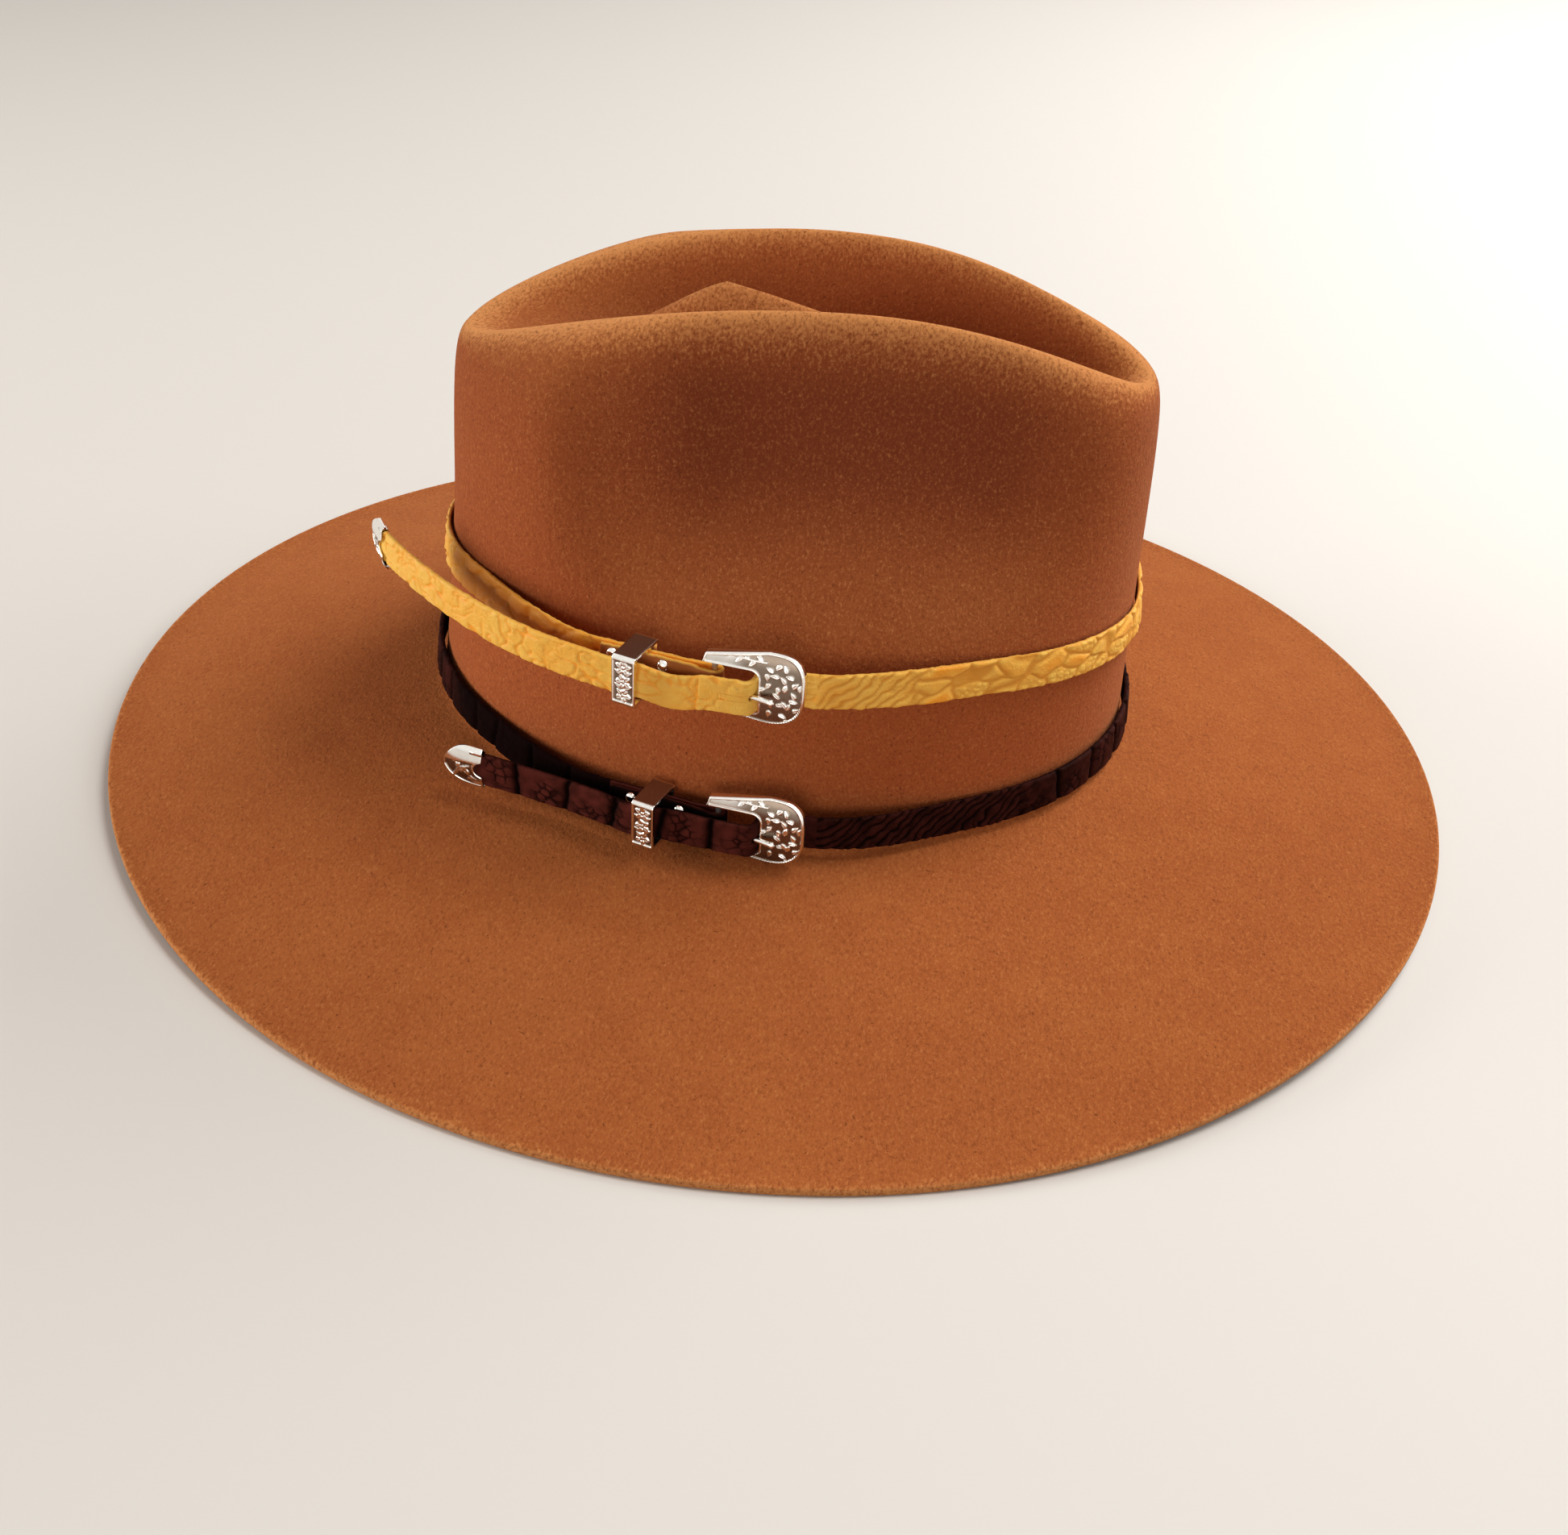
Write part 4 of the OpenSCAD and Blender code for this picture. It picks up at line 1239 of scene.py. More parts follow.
@dataclass
class Buckle:
    """Horseshoe buckle: two horns, a closed end, leaf engraving and a corded edge."""

    band: BandForm
    up: float = 2.3
    height: float = 20.1
    front: float = 1.68
    back: float = 1.32
    dome_r: float = 80
    roll_r: float = 16
    horn_u: float = -3
    top_horn_w: float = 2.5
    low_horn_w: float = 1.3
    top_square: float = 0.6
    low_square: float = 0.8
    opening_low: float = -5.85
    opening_high: float = 7.05
    low_corner: float = 1.5
    top_corner: float = 2.5
    split_u: float = 8
    relief: float = 0.42
    cord_w: float = 0.9
    cord_h: float = 0.42
    cord_pitch: float = 0.85
    leaf_count: int = 24
    leaf_l: float = 2.7
    leaf_half: float = 0.74
    plate_u: float = 17.9
    plate_reach: tuple[float, float] = (5.0, 8.4)
    # Painted reflection: the horn's ground is lighter before this point.
    painted_reflection_u: float = 3
    stations: tuple[int, int, int] = (100, 360, 90)
    columns: int = 76

    def outer(self) -> list[list[Vector]]:
        """Returns the outer outline as the top horn, the closed end and the low horn."""
        half = self.height / 2
        end_u = self.band.buckle_l - half
        top, low = self.up + half, self.up - half
        horn = Vector((self.horn_u + 0.7, self.opening_high + self.top_horn_w))
        share = (self.split_u - horn.x) / (end_u - horn.x)
        split = horn.lerp(Vector((end_u, top)), share)
        closed = [split]
        for i in range(49):
            a = math.radians(90 - 3.75 * i)
            square = self.top_square if a > 0 else self.low_square
            rise = math.copysign(abs(math.sin(a)) ** square, math.sin(a))
            closed.append(Vector((end_u + half * max(0.0, math.cos(a)) ** square, self.up + half * rise)))
        low_split = Vector((self.split_u, low + 0.4))
        closed.append(low_split)
        top_horn = [Vector((self.horn_u, self.opening_high + 0.4)), horn, split]
        low_horn = [low_split, Vector((self.horn_u + 0.6, self.opening_low - self.low_horn_w)),
                    Vector((self.horn_u, self.opening_low))]
        return [top_horn, closed, low_horn]

    def inner(self) -> list[list[Vector]]:
        """Returns the outline of the opening in the same three stretches."""
        far = self.band.opening_l
        top_split = Vector((self.split_u, self.opening_high))
        low_split = Vector((self.split_u, self.opening_low))
        curve = [top_split]
        for i in range(9):
            a = math.radians(90 - 11.25 * i)
            curve.append(Vector((far + self.top_corner * (math.cos(a) - 1),
                                 self.opening_high + self.top_corner * (math.sin(a) - 1))))
        for i in range(9):
            a = math.radians(-11.25 * i)
            curve.append(Vector((far + self.low_corner * (math.cos(a) - 1),
                                 self.opening_low + self.low_corner * (1 + math.sin(a)))))
        curve.append(low_split)
        return [[Vector((self.horn_u, self.opening_high)), top_split], curve,
                [low_split, Vector((self.horn_u, self.opening_low))]]

    def engraving(self) -> ScrollWork:
        """Returns the leaves of the plate."""
        leaves = []
        for i in range(self.leaf_count):
            angle = math.radians(GOLDEN_TURN * i)
            away = math.sqrt((i + 0.4) / self.leaf_count)
            wide, tall = self.plate_reach
            aside, above = wide * away * math.cos(angle), tall * away * math.sin(angle)
            base = Vector((self.plate_u + aside, self.up + above))
            turn = math.degrees(angle) + (75, 130, 30)[i % 3]
            leaves.append(Leaf(base, turn, self.leaf_l - 0.5 * away, self.leaf_half))
        horn = Stem(Vector((13.6, 9.7)), 182, -0.8, 13.5, leaf_l=self.leaf_l, leaf_half=0.72, pitch=1.9)
        return ScrollWork(stems=[horn], loose=leaves)

    def build(self, finish: bpy.types.Material) -> bpy.types.Object:
        """Makes the buckle piece."""
        band = self.band
        outer = spread(self.outer(), self.stations)
        inner = spread(self.inner(), self.stations)
        work = self.engraving()
        turn = Matrix.Rotation(-math.radians(band.plate_tilt), 3, "Z")
        bar = band.bar()
        sides = [(1, 0.35), (1, -0.6), (0.985, -1), (0.5, -1), (0.015, -1), (0, -0.6), (0, 0.35)]
        count = self.columns + len(sides) + 1

        def place(sheet: Sheet, column: int, row: int) -> Vector:
            column %= count
            near, far = inner[row], outer[row]
            if column > self.columns:
                share, level = sides[column - self.columns - 1]
                spot = near.lerp(far, share)
                y = mix(-self.face(spot), self.back, (1 - level) / 2)
                return bar + turn @ Vector((spot.x, y, spot.y))
            share = column / self.columns
            spot = near.lerp(far, share)
            width = (far - near).length
            raised, cut = self.surface(work, spot, (share * width, (1 - share) * width), row)
            sheet.mark["cut"] = cut
            return bar + turn @ Vector((spot.x, -self.face(spot) - raised, spot.y))

        sheet = Sheet(count, len(outer) - 1, place, ("cut",)).weld().cap().outward()
        piece = make_piece(sheet, f"{band.name}_buckle_silver", finish)
        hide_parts(f"{band.name}_buckle")
        return piece

    def face(self, spot: Vector) -> float:
        """Returns how far the domed front stands before the bar's plane."""
        bow = (spot.y - self.up) ** 2 / (2 * self.dome_r)
        roll = max(0.0, spot.y - self.opening_high + 0.6) ** 2 / (2 * self.roll_r)
        return self.front - self.relief - bow - roll

    def surface(
        self, work: ScrollWork, spot: Vector, gaps: tuple[float, float], row: int
    ) -> tuple[float, float]:
        """Returns the raised height of a point of the front, and its share of painted dark reflection.

        Args:
            work: the engraving.
            spot: the point in the plate's plane.
            gaps: distances from the opening and from the outer edge.
            row: station along the outline, for the cord's twist.

        Returns:
            Height in millimetres, and the share of painted dark reflection, from 0 to 1.
        """
        in_gap, out_gap = gaps
        if out_gap < self.cord_w:
            across = 2 * out_gap / self.cord_w - 1
            twist = 0.5 + 0.5 * math.sin(2 * math.pi * (row * 0.14 + 0.5 * across) / self.cord_pitch)
            # Painted dark reflection in the lower cord's twists.
            below = ease((self.up - 3 - spot.y) / 3)
            raised = self.cord_h * math.sqrt(max(0.0, 1 - across * across))
            return raised * (1 - 0.45 * below * twist), 0.5 * below * twist
        trough = 1 - ease((out_gap - self.cord_w) / 0.5)
        rim = 1 - ease((in_gap - 0.25) / 0.35)
        height = max(work.height(spot), rim)
        height *= 1 - 0.8 * trough
        # Painted reflection: the plate's ground takes the dark colour, less of it on the horn.
        painted_dark_reflection = mix(0.3, 0.95, ease((spot.x - self.painted_reflection_u) / 6))
        return self.relief * height, painted_dark_reflection * (1 - ease(height / 0.55))


def spread(parts: list[list[Vector]], counts: tuple[int, ...]) -> list[Vector]:
    """Sets a number of even points along each of several joined lines.

    Args:
        parts: the lines, each starting where the one before it ends.
        counts: steps on each line.

    Returns:
        The points of all the lines.
    """
    points = [parts[0][0]]
    for line, count in zip(parts, counts):
        spans = [(b - a).length for a, b in zip(line, line[1:])]
        total = sum(spans)
        index, passed = 0, 0.0
        for i in range(1, count + 1):
            want = total * i / count
            while index < len(spans) - 1 and passed + spans[index] < want:
                passed += spans[index]
                index += 1
            share = min(1.0, (want - passed) / spans[index])
            points.append(line[index].lerp(line[index + 1], share))
    return points


@dataclass
class Keeper:
    """Box loop with three blossoms on its front."""

    band: BandForm
    wall: float = 1.1
    room_above: float = 0.6
    round_r: float = 1.1
    relief: float = 0.4
    petal: float = 2.3
    border: float = 0.35
    # Painted dark reflection on the keeper's top.
    painted_top_reflection: float = 0.85
    along: int = 330
    columns: int = 40

    def size(self) -> tuple[float, float, float]:
        """Returns the inside's distance behind and before the fold, and its height."""
        band = self.band
        fold, turn = math.radians(band.fold_turn), math.radians(band.keeper_turn)
        half = band.keeper_w / 2
        tail = band.keeper_x * math.sin(fold) + band.tail_out * math.cos(fold)
        behind = band.layer_out + band.strap_t / 2 + band.slide_gap + half * math.tan(turn - fold)
        before = tail + band.strap_t / 2 + 2 * band.slide_gap + half * math.tan(turn)
        return behind, before, band.strap_w + 2 * band.slide_gap + self.room_above

    def loop(self, deep: float, high: float) -> list[tuple[Vector, Vector]]:
        """Returns points round the middle of the front's bottom edge, with outward directions."""
        r = self.round_r
        hy, hz = deep / 2 + self.wall, high / 2 + self.wall
        y_reach, z_reach = hy - r, hz - r
        outline = []
        for y, z, first in ((-1, -1, 270), (-1, 1, 180), (1, 1, 90), (1, -1, 0)):
            y, z = y * y_reach, z * z_reach
            for i in range(7):
                a = math.radians(first - 15 * i)
                outline.append(Vector((y + r * math.cos(a), z + r * math.sin(a))))
        outline.append(outline[0])
        ring = spread([outline], (self.along,))[:-1]
        points = []
        for i, spot in enumerate(ring):
            ahead = (ring[(i + 1) % self.along] - ring[i - 1]).normalized()
            points.append((spot, Vector((-ahead.y, ahead.x))))
        return points

    def engraving(self, high: float) -> ScrollWork:
        """Returns the three blossoms and the leaves between them."""
        leaves, beads = [], []
        for i in range(3):
            petals, bead = flower(Vector((0, high * (0.33 - 0.33 * i))), self.petal, 15 + 25 * i)
            leaves += petals
            beads.append(bead)
        for i in range(2):
            for side in (-1, 1):
                base = Vector((side * 0.5, high * (0.165 - 0.33 * i)))
                leaves.append(Leaf(base, 90 - side * 60, self.petal, 0.6))
        return ScrollWork(loose=leaves, beads=beads)

    def build(self, finish: bpy.types.Material) -> bpy.types.Object:
        """Makes the keeper piece."""
        band = self.band
        behind, before, high = self.size()
        deep = behind + before
        ring = self.loop(deep, high)
        work = self.engraving(high)
        half = band.keeper_w / 2
        fold = Matrix.Rotation(-math.radians(band.fold_turn), 3, "Z")
        lean = Matrix.Rotation(math.radians(band.fold_turn - band.keeper_turn), 3, "Z")
        bar = band.bar()
        middle = Vector((-band.keeper_x, -(before - behind) / 2, self.room_above / 2))
        sides = [(1, 0.2), (1, 0.8), (0.97, 1), (0.5, 1), (-0.5, 1), (-0.97, 1), (-1, 0.8), (-1, 0.2)]
        count = self.columns + 1 + len(sides)

        def place(sheet: Sheet, column: int, row: int) -> Vector:
            column %= count
            spot, normal = ring[row % self.along]
            if column > self.columns:
                share, inward = sides[column - self.columns - 1]
                x = share * half
                depth = inward * self.wall
            else:
                x = mix(-half, half, column / self.columns) * 0.985
                raised, cut = self.surface(work, spot, x, deep, high)
                depth = self.relief - raised if cut else 0.0
                sheet.mark["cut"] = cut
            local = Vector((x, spot.x - normal.x * depth, spot.y - normal.y * depth))
            return bar + fold @ (middle + lean @ local)

        sheet = Sheet(count, self.along, place, ("cut",)).weld().outward()
        piece = make_piece(sheet, f"{band.name}_keeper_silver", finish, f"{band.name}_keeper")
        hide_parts(f"{band.name}_keeper")
        return piece

    def surface(
        self, work: ScrollWork, spot: Vector, x: float, deep: float, high: float
    ) -> tuple[float, float]:
        """Returns the raised height of a point of the outside, and its share of painted dark reflection.

        Args:
            work: the engraving of the front.
            spot: the point in the loop's section.
            x: the point's place along the strap.
            deep: depth of the inside.
            high: height of the inside.

        Returns:
            Height in millimetres, and the share of painted dark reflection, from 0 to 1.
        """
        # Painted dark reflection: the top face takes the dark colour.
        if spot.y > high / 2 + self.wall - 0.02:
            return self.relief, self.painted_top_reflection
        front = spot.x < -deep / 2 - self.wall + 0.02
        inside = min(self.band.keeper_w / 2 - abs(x), high / 2 + 0.3 - abs(spot.y)) - self.border
        if not front or inside < 0:
            return self.relief, 0.0
        height = max(work.height(Vector((x, spot.y))), 1 - ease(inside / 0.3))
        # Painted dark reflection in the front's engraved ground.
        return self.relief * height, max(0.001, 0.95 * (1 - ease(height / 0.55)))


@dataclass
class Rivets:
    """Two domed rivets that close the fold, one on each side of the keeper."""

    band: BandForm
    pitch: float = 14
    width: float = 3.2
    rise: float = 1.3
    up: float = 3.0
    columns: int = 32

    def build(self, finish: bpy.types.Material) -> bpy.types.Object:
        """Makes the rivets' piece."""
        band = self.band
        mesh = bmesh.new()
        face = band.layer_out + band.strap_t / 2
        turn = Matrix.Rotation(-math.radians(band.fold_turn), 4, "Z")
        bar = Matrix.Translation(band.bar() + Vector((0, 0, self.up)))
        for side in (-0.5, 0.5):
            rows = self.columns // 2
            head = bmesh.ops.create_uvsphere(mesh, u_segments=self.columns, v_segments=rows, radius=1)
            sizes = Matrix.Diagonal(Vector((self.width / 2, self.rise, self.width / 2, 1)))
            place = Matrix.Translation(Vector((side * self.pitch - band.keeper_x, -face, 0)))
            bmesh.ops.transform(mesh, matrix=bar @ turn @ place @ sizes, verts=head["verts"])
        bmesh.ops.scale(mesh, vec=Vector((MM, MM, MM)), verts=mesh.verts[:])
        piece = finished(mesh, f"{band.name}_rivets_silver", finish)
        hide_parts(f"{band.name}_rivets")
        return piece


@dataclass
class Tip:
    """Pointed cap on the end of a tail, notched at its back edge."""

    band: BandForm
    length: float = 12.5
    thick: float = 3.6
    pocket: float = 3.5
    pocket_gap: float = 0.2
    dome_r: float = 14
    notch_r: float = 2.4
    plain_from: float = 0.12
    relief: float = 0.34
    around: int = 64
    rows: int = 64

    def engraving(self) -> ScrollWork:
        """Returns the leaves of the tip's face."""
        return ScrollWork(stems=[
            Stem(Vector((-1.8, -3.8)), 24, 2.0, 8.0, leaf_l=2.6, leaf_half=0.75, pitch=1.7),
            Stem(Vector((0.4, 0.4)), -8, -6.0, 6.0, leaf_l=2.4, leaf_half=0.7, pitch=1.7),
        ])

    def outline(self, x: float) -> float:
        """Returns half the height of the tip at a distance from the strap's end."""
        half = self.band.tip_h / 2
        if x <= 0:
            return half
        nose = self.length - self.pocket
        arc_r = (nose * nose + half * half) / (2 * half)
        return half - arc_r + math.sqrt(max(0.0, arc_r**2 - x * x))

    def build(self, finish: bpy.types.Material) -> bpy.types.Object:
        """Makes the tip piece."""
        band = self.band
        work = self.engraving()
        nose = self.length - self.pocket
        turn = Matrix.Rotation(math.radians(band.tail_turn), 3, "Z")
        end = Vector((*band.tail_end, band.centre_z + band.tail_lift - band.tip_drop))
        count = 2 * self.around
        inside = (band.strap_t / 2 + self.pocket_gap, band.leather_w / 2 + self.pocket_gap)

        def place(sheet: Sheet, column: int, row: int) -> Vector:
            column %= count
            face = -1 if column < self.around else 1
            share = (column % self.around + 0.5) / self.around * 2 - 1
            share = math.sin(share * math.pi / 2) * -face
            notch = math.sqrt(max(0.0, self.notch_r**2 - (share * band.tip_h / 2) ** 2))
            start = -self.pocket + notch
            if row < 3:
                x = (self.pocket_gap, self.pocket_gap, start)[row]
                scale = 0.0 if row == 0 else 1.0
                local = Vector((x, -face * scale * inside[0], share * inside[1] * scale))
                return end + turn @ local
            step = (row - 3) / self.rows
            x = mix(start, nose, 1 - (1 - step) ** 1.4)
            half = self.outline(x)
            z = share * half
            fall = self.dome_r - math.sqrt(self.dome_r**2 - z * z)
            thin = math.sqrt(max(0.0, 1 - (max(0.0, x) / nose) ** 3))
            y = max(0.12, self.thick / 2 - fall) * mix(0.25, 1, thin)
            border = min(half - abs(z), x - start, 0.8 * (nose - x))
            band_top = z > self.plain_from * band.tip_h * (1 - 0.04 * x)
            if face > 0 or band_top or border < 0.5:
                return end + turn @ Vector((x, -face * y, z))
            height = max(work.height(Vector((x, z))), 1 - ease((border - 0.5) / 0.3))
            # Painted dark reflection in the engraved ground.
            sheet.mark["cut"] = 0.95 * (1 - ease(height / 0.55))
            return end + turn @ Vector((x, -face * (y - self.relief * (1 - height)), z))

        sheet = Sheet(count, self.rows + 3, place, ("cut",)).weld().cap().outward()
        piece = make_piece(sheet, f"{band.name}_tip_silver", finish)
        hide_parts(f"{band.name}_tip")
        return piece


@dataclass
class Sweatband:
    """Leather band inside the crown with its piped edge and a small bow at the back."""

    form: HatForm
    inset: float = 2.75
    low: float = -2.4
    high: float = 41.6
    thick: float = 1.0
    reed_r: float = 1.1
    slide_gap: float = 0.35
    bow_w: float = 24
    bow_h: float = 9
    columns: int = 180

    def ring(
        self, section: list[tuple[float, float]], name: str, finish: bpy.types.Material
    ) -> bpy.types.Object:
        """Makes a ring inside the crown from a closed section of (inset, height) corners."""

        def place(sheet: Sheet, column: int, row: int) -> Vector:
            angle = 2 * math.pi * (column % self.columns) / self.columns
            inset, height = section[row % len(section)]
            return self.form.raised(self.form.wall(angle, max(0.0, height), -inset), height)

        return make_piece(Sheet(self.columns, len(section), place).weld().outward(), name, finish)

    def build(
        self, leather: bpy.types.Material, reed: bpy.types.Material, ribbon: bpy.types.Material
    ) -> None:
        """Makes the band, the reed and the bow."""
        heights = [mix(self.low, self.high, i / 16) for i in range(17)]
        outside = [(self.inset, height) for height in heights]
        inside = [(self.inset + self.thick, height) for height in reversed(heights)]
        band = self.ring(inside + outside, "sweatband_leather", leather)
        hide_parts("sweatband")
        middle = self.inset + self.thick / 2
        level = self.low - self.slide_gap - self.reed_r
        turns = [2 * math.pi * i / 14 for i in range(14)]
        section = [(middle + self.reed_r * math.cos(a), level + self.reed_r * math.sin(a)) for a in turns]
        piping = self.ring(section, "sweatband_piping", reed)
        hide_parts("sweatband_reed")
        self.bow(ribbon)

    def bow(self, ribbon: bpy.types.Material) -> None:
        """Makes the bow: two pleated loops pulled together by a knot."""
        inset = self.inset + self.thick + 2 * self.slide_gap
        a = self.form.crown_l / 2 - self.form.lean_back * self.bow_h - inset
        b = self.form.crown_w / 2 - self.form.lean_side * self.bow_h - inset
        half_w, knot = self.bow_w / 2, 0.1 * self.bow_w
        around, rows = 28, 60

        def place(sheet: Sheet, column: int, row: int) -> Vector:
            turn = 2 * math.pi * (column % around) / around
            w = mix(-half_w, half_w, row / rows)
            flare = ease((abs(w) - knot) / (0.5 * half_w))
            tall = mix(knot, 0.2 * self.bow_w, flare)
            if abs(w) > half_w - 1.5:
                tall *= math.sqrt(max(0.0, 1 - ((abs(w) - half_w + 1.5) / 1.5) ** 2 * 0.98))
            pleat = 0.12 * math.cos(9 * turn) * (1 - flare)
            deep = 0.36 + pleat + (0.12 if abs(w) < knot else 0.0)
            x = a * math.sqrt(1 - (w / b) ** 2) - 0.5 + deep * math.cos(turn)
            return self.form.raised(Vector((-x, w)), self.bow_h + tall * math.sin(turn))

        piece = make_piece(Sheet(around, rows, place).weld().cap().outward(), "sweatband_bow_ribbon", ribbon)
        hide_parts("sweatband_bow")


@dataclass(frozen=True)
class Lamp:
    """One soft round lamp: place and size in metres, power in watts."""

    name: str
    place: Point
    size: float
    power: float


@dataclass
class Studio:
    """Pale floor, soft light and the camera."""

    floor_color: Color = (0.8, 0.785, 0.76)
    bounce_color: Color = (0.3, 0.29, 0.28)
    focal_px: float = 2300
    frame_px: tuple[int, int] = (1945, 1904)
    sensor: float = 36
    floor_half_m: float = 6
    pitch_deg: float = 34.656
    roll_deg: float = 3.823
    yaw_deg: float = -10.238
    distance: float = 572.707
    shift_right: float = -1.012
    shift_up: float = 30.263
    aim_height: float = 22.5
    light_color: Color = (1.0, 0.97, 0.93)
    shade_color: Color = (1.0, 0.72, 0.5)
    backdrop: float = 0.95
    room_light: float = 0.1
    aim: Point = (0, 0, 0.06)
    lamps: tuple[Lamp, ...] = (
        Lamp("ceiling", (0.8, 0.5, 2.0), 1.0, 23.4),
        Lamp("left_wall", (-1.3, -0.3, 0.22), 0.8, 13),
        Lamp("low_front", (0.1, -1.4, 0.2), 1.0, 7.2),
        Lamp("right_wall", (1.3, 0.3, 1.0), 1.0, 6.5),
        Lamp("window", (0.9, 1.2, 0.9), 1.0, 14.8),
    )

    def camera(self) -> None:
        """Sets the camera where the hat is seen from."""
        pitch, roll = math.radians(self.pitch_deg), math.radians(self.roll_deg)
        ahead = Vector((0, math.cos(pitch), -math.sin(pitch)))
        level = Vector((1, 0, 0))
        upright = Vector((0, math.sin(pitch), math.cos(pitch)))
        right = level * math.cos(roll) + upright * math.sin(roll)
        up = upright * math.cos(roll) - level * math.sin(roll)
        centre = -ahead * self.distance - right * self.shift_right - up * self.shift_up
        turn = Matrix.Rotation(-math.radians(self.yaw_deg), 3, "Z")
        axes = Matrix([turn @ right, turn @ up, turn @ -ahead]).transposed()
        data = bpy.data.cameras.new("camera")
        data.sensor_width = self.sensor
        data.lens = self.sensor * self.focal_px / self.frame_px[0]
        data.clip_start = 0.01
        camera = bpy.data.objects.new("camera", data)
        place = (turn @ centre + Vector((0, 0, self.aim_height))) * MM
        camera.matrix_world = Matrix.Translation(place) @ axes.to_4x4()
        bpy.context.scene.collection.objects.link(camera)
        bpy.context.scene.camera = camera

    def floor(self) -> None:
        """Lays the floor."""
        mesh = bmesh.new()
        bmesh.ops.create_grid(mesh, x_segments=1, y_segments=1, size=self.floor_half_m)
        data = bpy.data.meshes.new("floor")
        mesh.to_mesh(data)
        mesh.free()
        material, tree, shader = new_material("floor")
        color = tree.blend(tree.seen(), rgb(self.bounce_color), rgb(self.floor_color))
        tree.fill(shader, {"Base Color": color, "Roughness": 0.7})
        data.materials.append(material)
        floor = bpy.data.objects.new("floor", data)
        bpy.context.scene.collection.objects.link(floor)

    def hang(self, lamp: Lamp) -> None:
        """Hangs one lamp, aimed at the hat."""
        data = bpy.data.lights.new(lamp.name, "AREA")
        data.shape = "DISK"
        data.size = lamp.size
        data.energy = lamp.power
        data.color = self.light_color
        piece = bpy.data.objects.new(lamp.name, data)
        piece.location = lamp.place
        piece.rotation_euler = (Vector(self.aim) - Vector(lamp.place)).to_track_quat("-Z", "Y").to_euler()
        bpy.context.scene.collection.objects.link(piece)

    def light(self) -> None:
        """Sets the room's faint warm light behind a pale backdrop, and hangs the lamps."""
        world = bpy.data.worlds.new("room")
        world.use_nodes = True
        bpy.context.scene.world = world
        tree = Tree(world.node_tree)
        background = world.node_tree.nodes["Background"]
        shown = tree.seen()
        strength = tree.add("Mix", {0: shown, 2: self.room_light, 3: self.backdrop}), 0
        color = tree.blend(shown, rgb(self.shade_color), rgb(self.light_color))
        tree.fill(background, {"Strength": strength, "Color": color})
        for lamp in self.lamps:
            self.hang(lamp)

    def build(self) -> None:
        """Makes the stage."""
        self.floor()
        self.light()
        self.camera()
        bpy.context.scene.view_settings.view_transform = "Standard"


def hides() -> dict[Hide, LeatherFinish]:
    """Returns the finish of each band's leather."""
    mustard = LeatherFinish(
        "mustard_leather", scale=(1.0, 0.62, 0.115), dome=(1.0, 0.4, 0.035),
        groove=(0.78, 0.33, 0.04), back=(0.42, 0.13, 0.03), roughness=0.5, coat=0.03, specular=0.2)
    # The dark hide's near-black back colour also serves as its painted shade behind the tail.
    dark = LeatherFinish(
        "dark_leather", scale=(0.012, 0.003, 0.002), dome=(0.105, 0.022, 0.016),
        groove=(0.003, 0.001, 0.001), back=(0.005, 0.002, 0.002), roughness=0.6, specular=0.02)
    return {Hide.MUSTARD: mustard, Hide.DARK: dark}


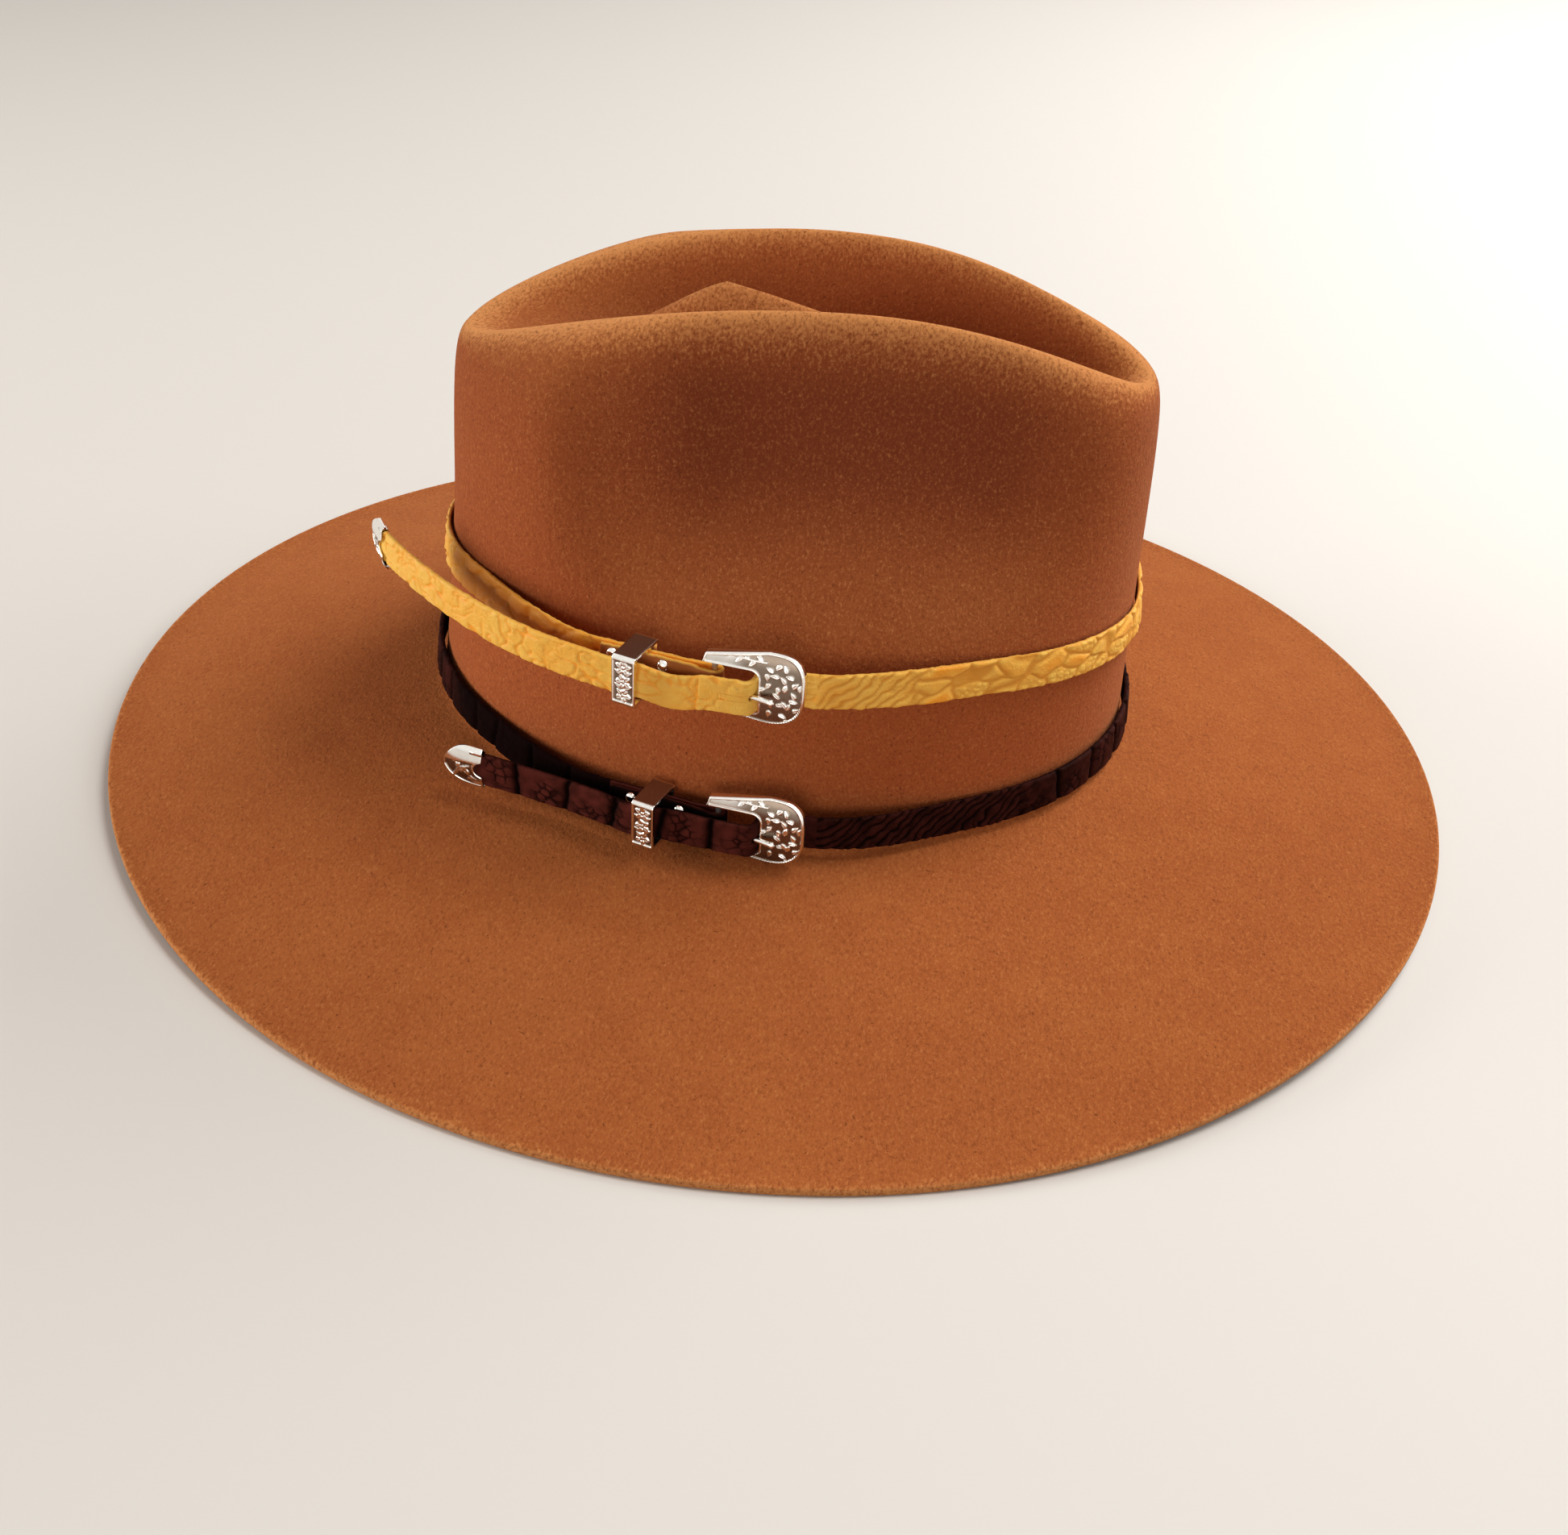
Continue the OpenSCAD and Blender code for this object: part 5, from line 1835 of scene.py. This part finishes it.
def bands() -> list[tuple[BandForm, Hide, Emboss]]:
    """Returns the two bands with their hides and their embossing."""
    upper = BandForm(
        "upper", centre_z=73, run_h=50.5, bar_x=0.5, angles=(222, -48),
        tail_bend=(-38.9, 5.2), tail_end=(-106.2, -49), tail_turn=126, tail_dip=2, tail_lift=0.9,
        tail_reach=5, sag=10.5, tip_h=13.2, tip_drop=0.4)
    lower = BandForm(
        "lower", centre_z=29, run_h=1.0, bar_x=3, angles=(228, -52),
        tail_bend=(-14, 4.5), tail_end=(-68.5, -85), tail_turn=170, keeper_x=17.5)
    soft = Emboss(
        seed=3.1, pitch=17, cut_w=0.4, cut_depth=0.3, edge_wave=0.55,
        wrinkled=20, wrinkle_fade=10, shaded=22, shade_fade=12)
    return [
        (upper, Hide.MUSTARD, soft),
        (lower, Hide.DARK, Emboss(seed=8.6)),
    ]


def dress_solid(name: str, finish: bpy.types.Material) -> None:
    """Gives the finish to a solid that is shown as it is."""
    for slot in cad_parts[name].material_slots:
        slot.material = finish
    log.info("%s: dressed", name)


def main() -> None:
    """Builds the hat's pieces and the stage."""
    logging.basicConfig(level=logging.INFO, format="%(message)s")
    # Without a seed, noise_vector takes its offsets from the clock.
    noise.seed_set(NOISE_SEED)
    effects = Effects()
    form = HatForm()
    FeltBody(form).build(FeltFinish().material(effects))
    skins = {hide: finish.material(effects) for hide, finish in hides().items()}
    engraved = SilverFinish("engraved_silver").material(effects)
    polished = SilverFinish("polished_silver", roughness=0.12, engraved=False).material(effects)
    steel_look = SilverFinish("plain_steel", bright=(0.5, 0.49, 0.47), roughness=0.3, engraved=False)
    steel = steel_look.material(effects)
    for band, hide, emboss in bands():
        Strap(band, hide, emboss).build(form, skins[hide])
        Buckle(band).build(engraved)
        Keeper(band).build(engraved)
        Tip(band).build(engraved)
        Rivets(band).build(polished)
        dress_solid(f"{band.name}_prong", polished)
        dress_solid(f"{band.name}_bar", steel)
    brown = LeatherFinish(
        "sweatband_leather", scale=(0.16, 0.06, 0.025), dome=(0.12, 0.04, 0.016),
        groove=(0.05, 0.02, 0.01), back=(0.14, 0.05, 0.02), roughness=0.5)
    piping = LeatherFinish(
        "reed_leather", scale=(0.22, 0.09, 0.035), dome=(0.16, 0.06, 0.022),
        groove=(0.05, 0.02, 0.01), back=(0.2, 0.08, 0.03), roughness=0.5)
    Sweatband(form).build(brown.material(effects), piping.material(effects), RibbonFinish().material(effects))
    Studio().build()


if __name__ == "__main__":
    main()
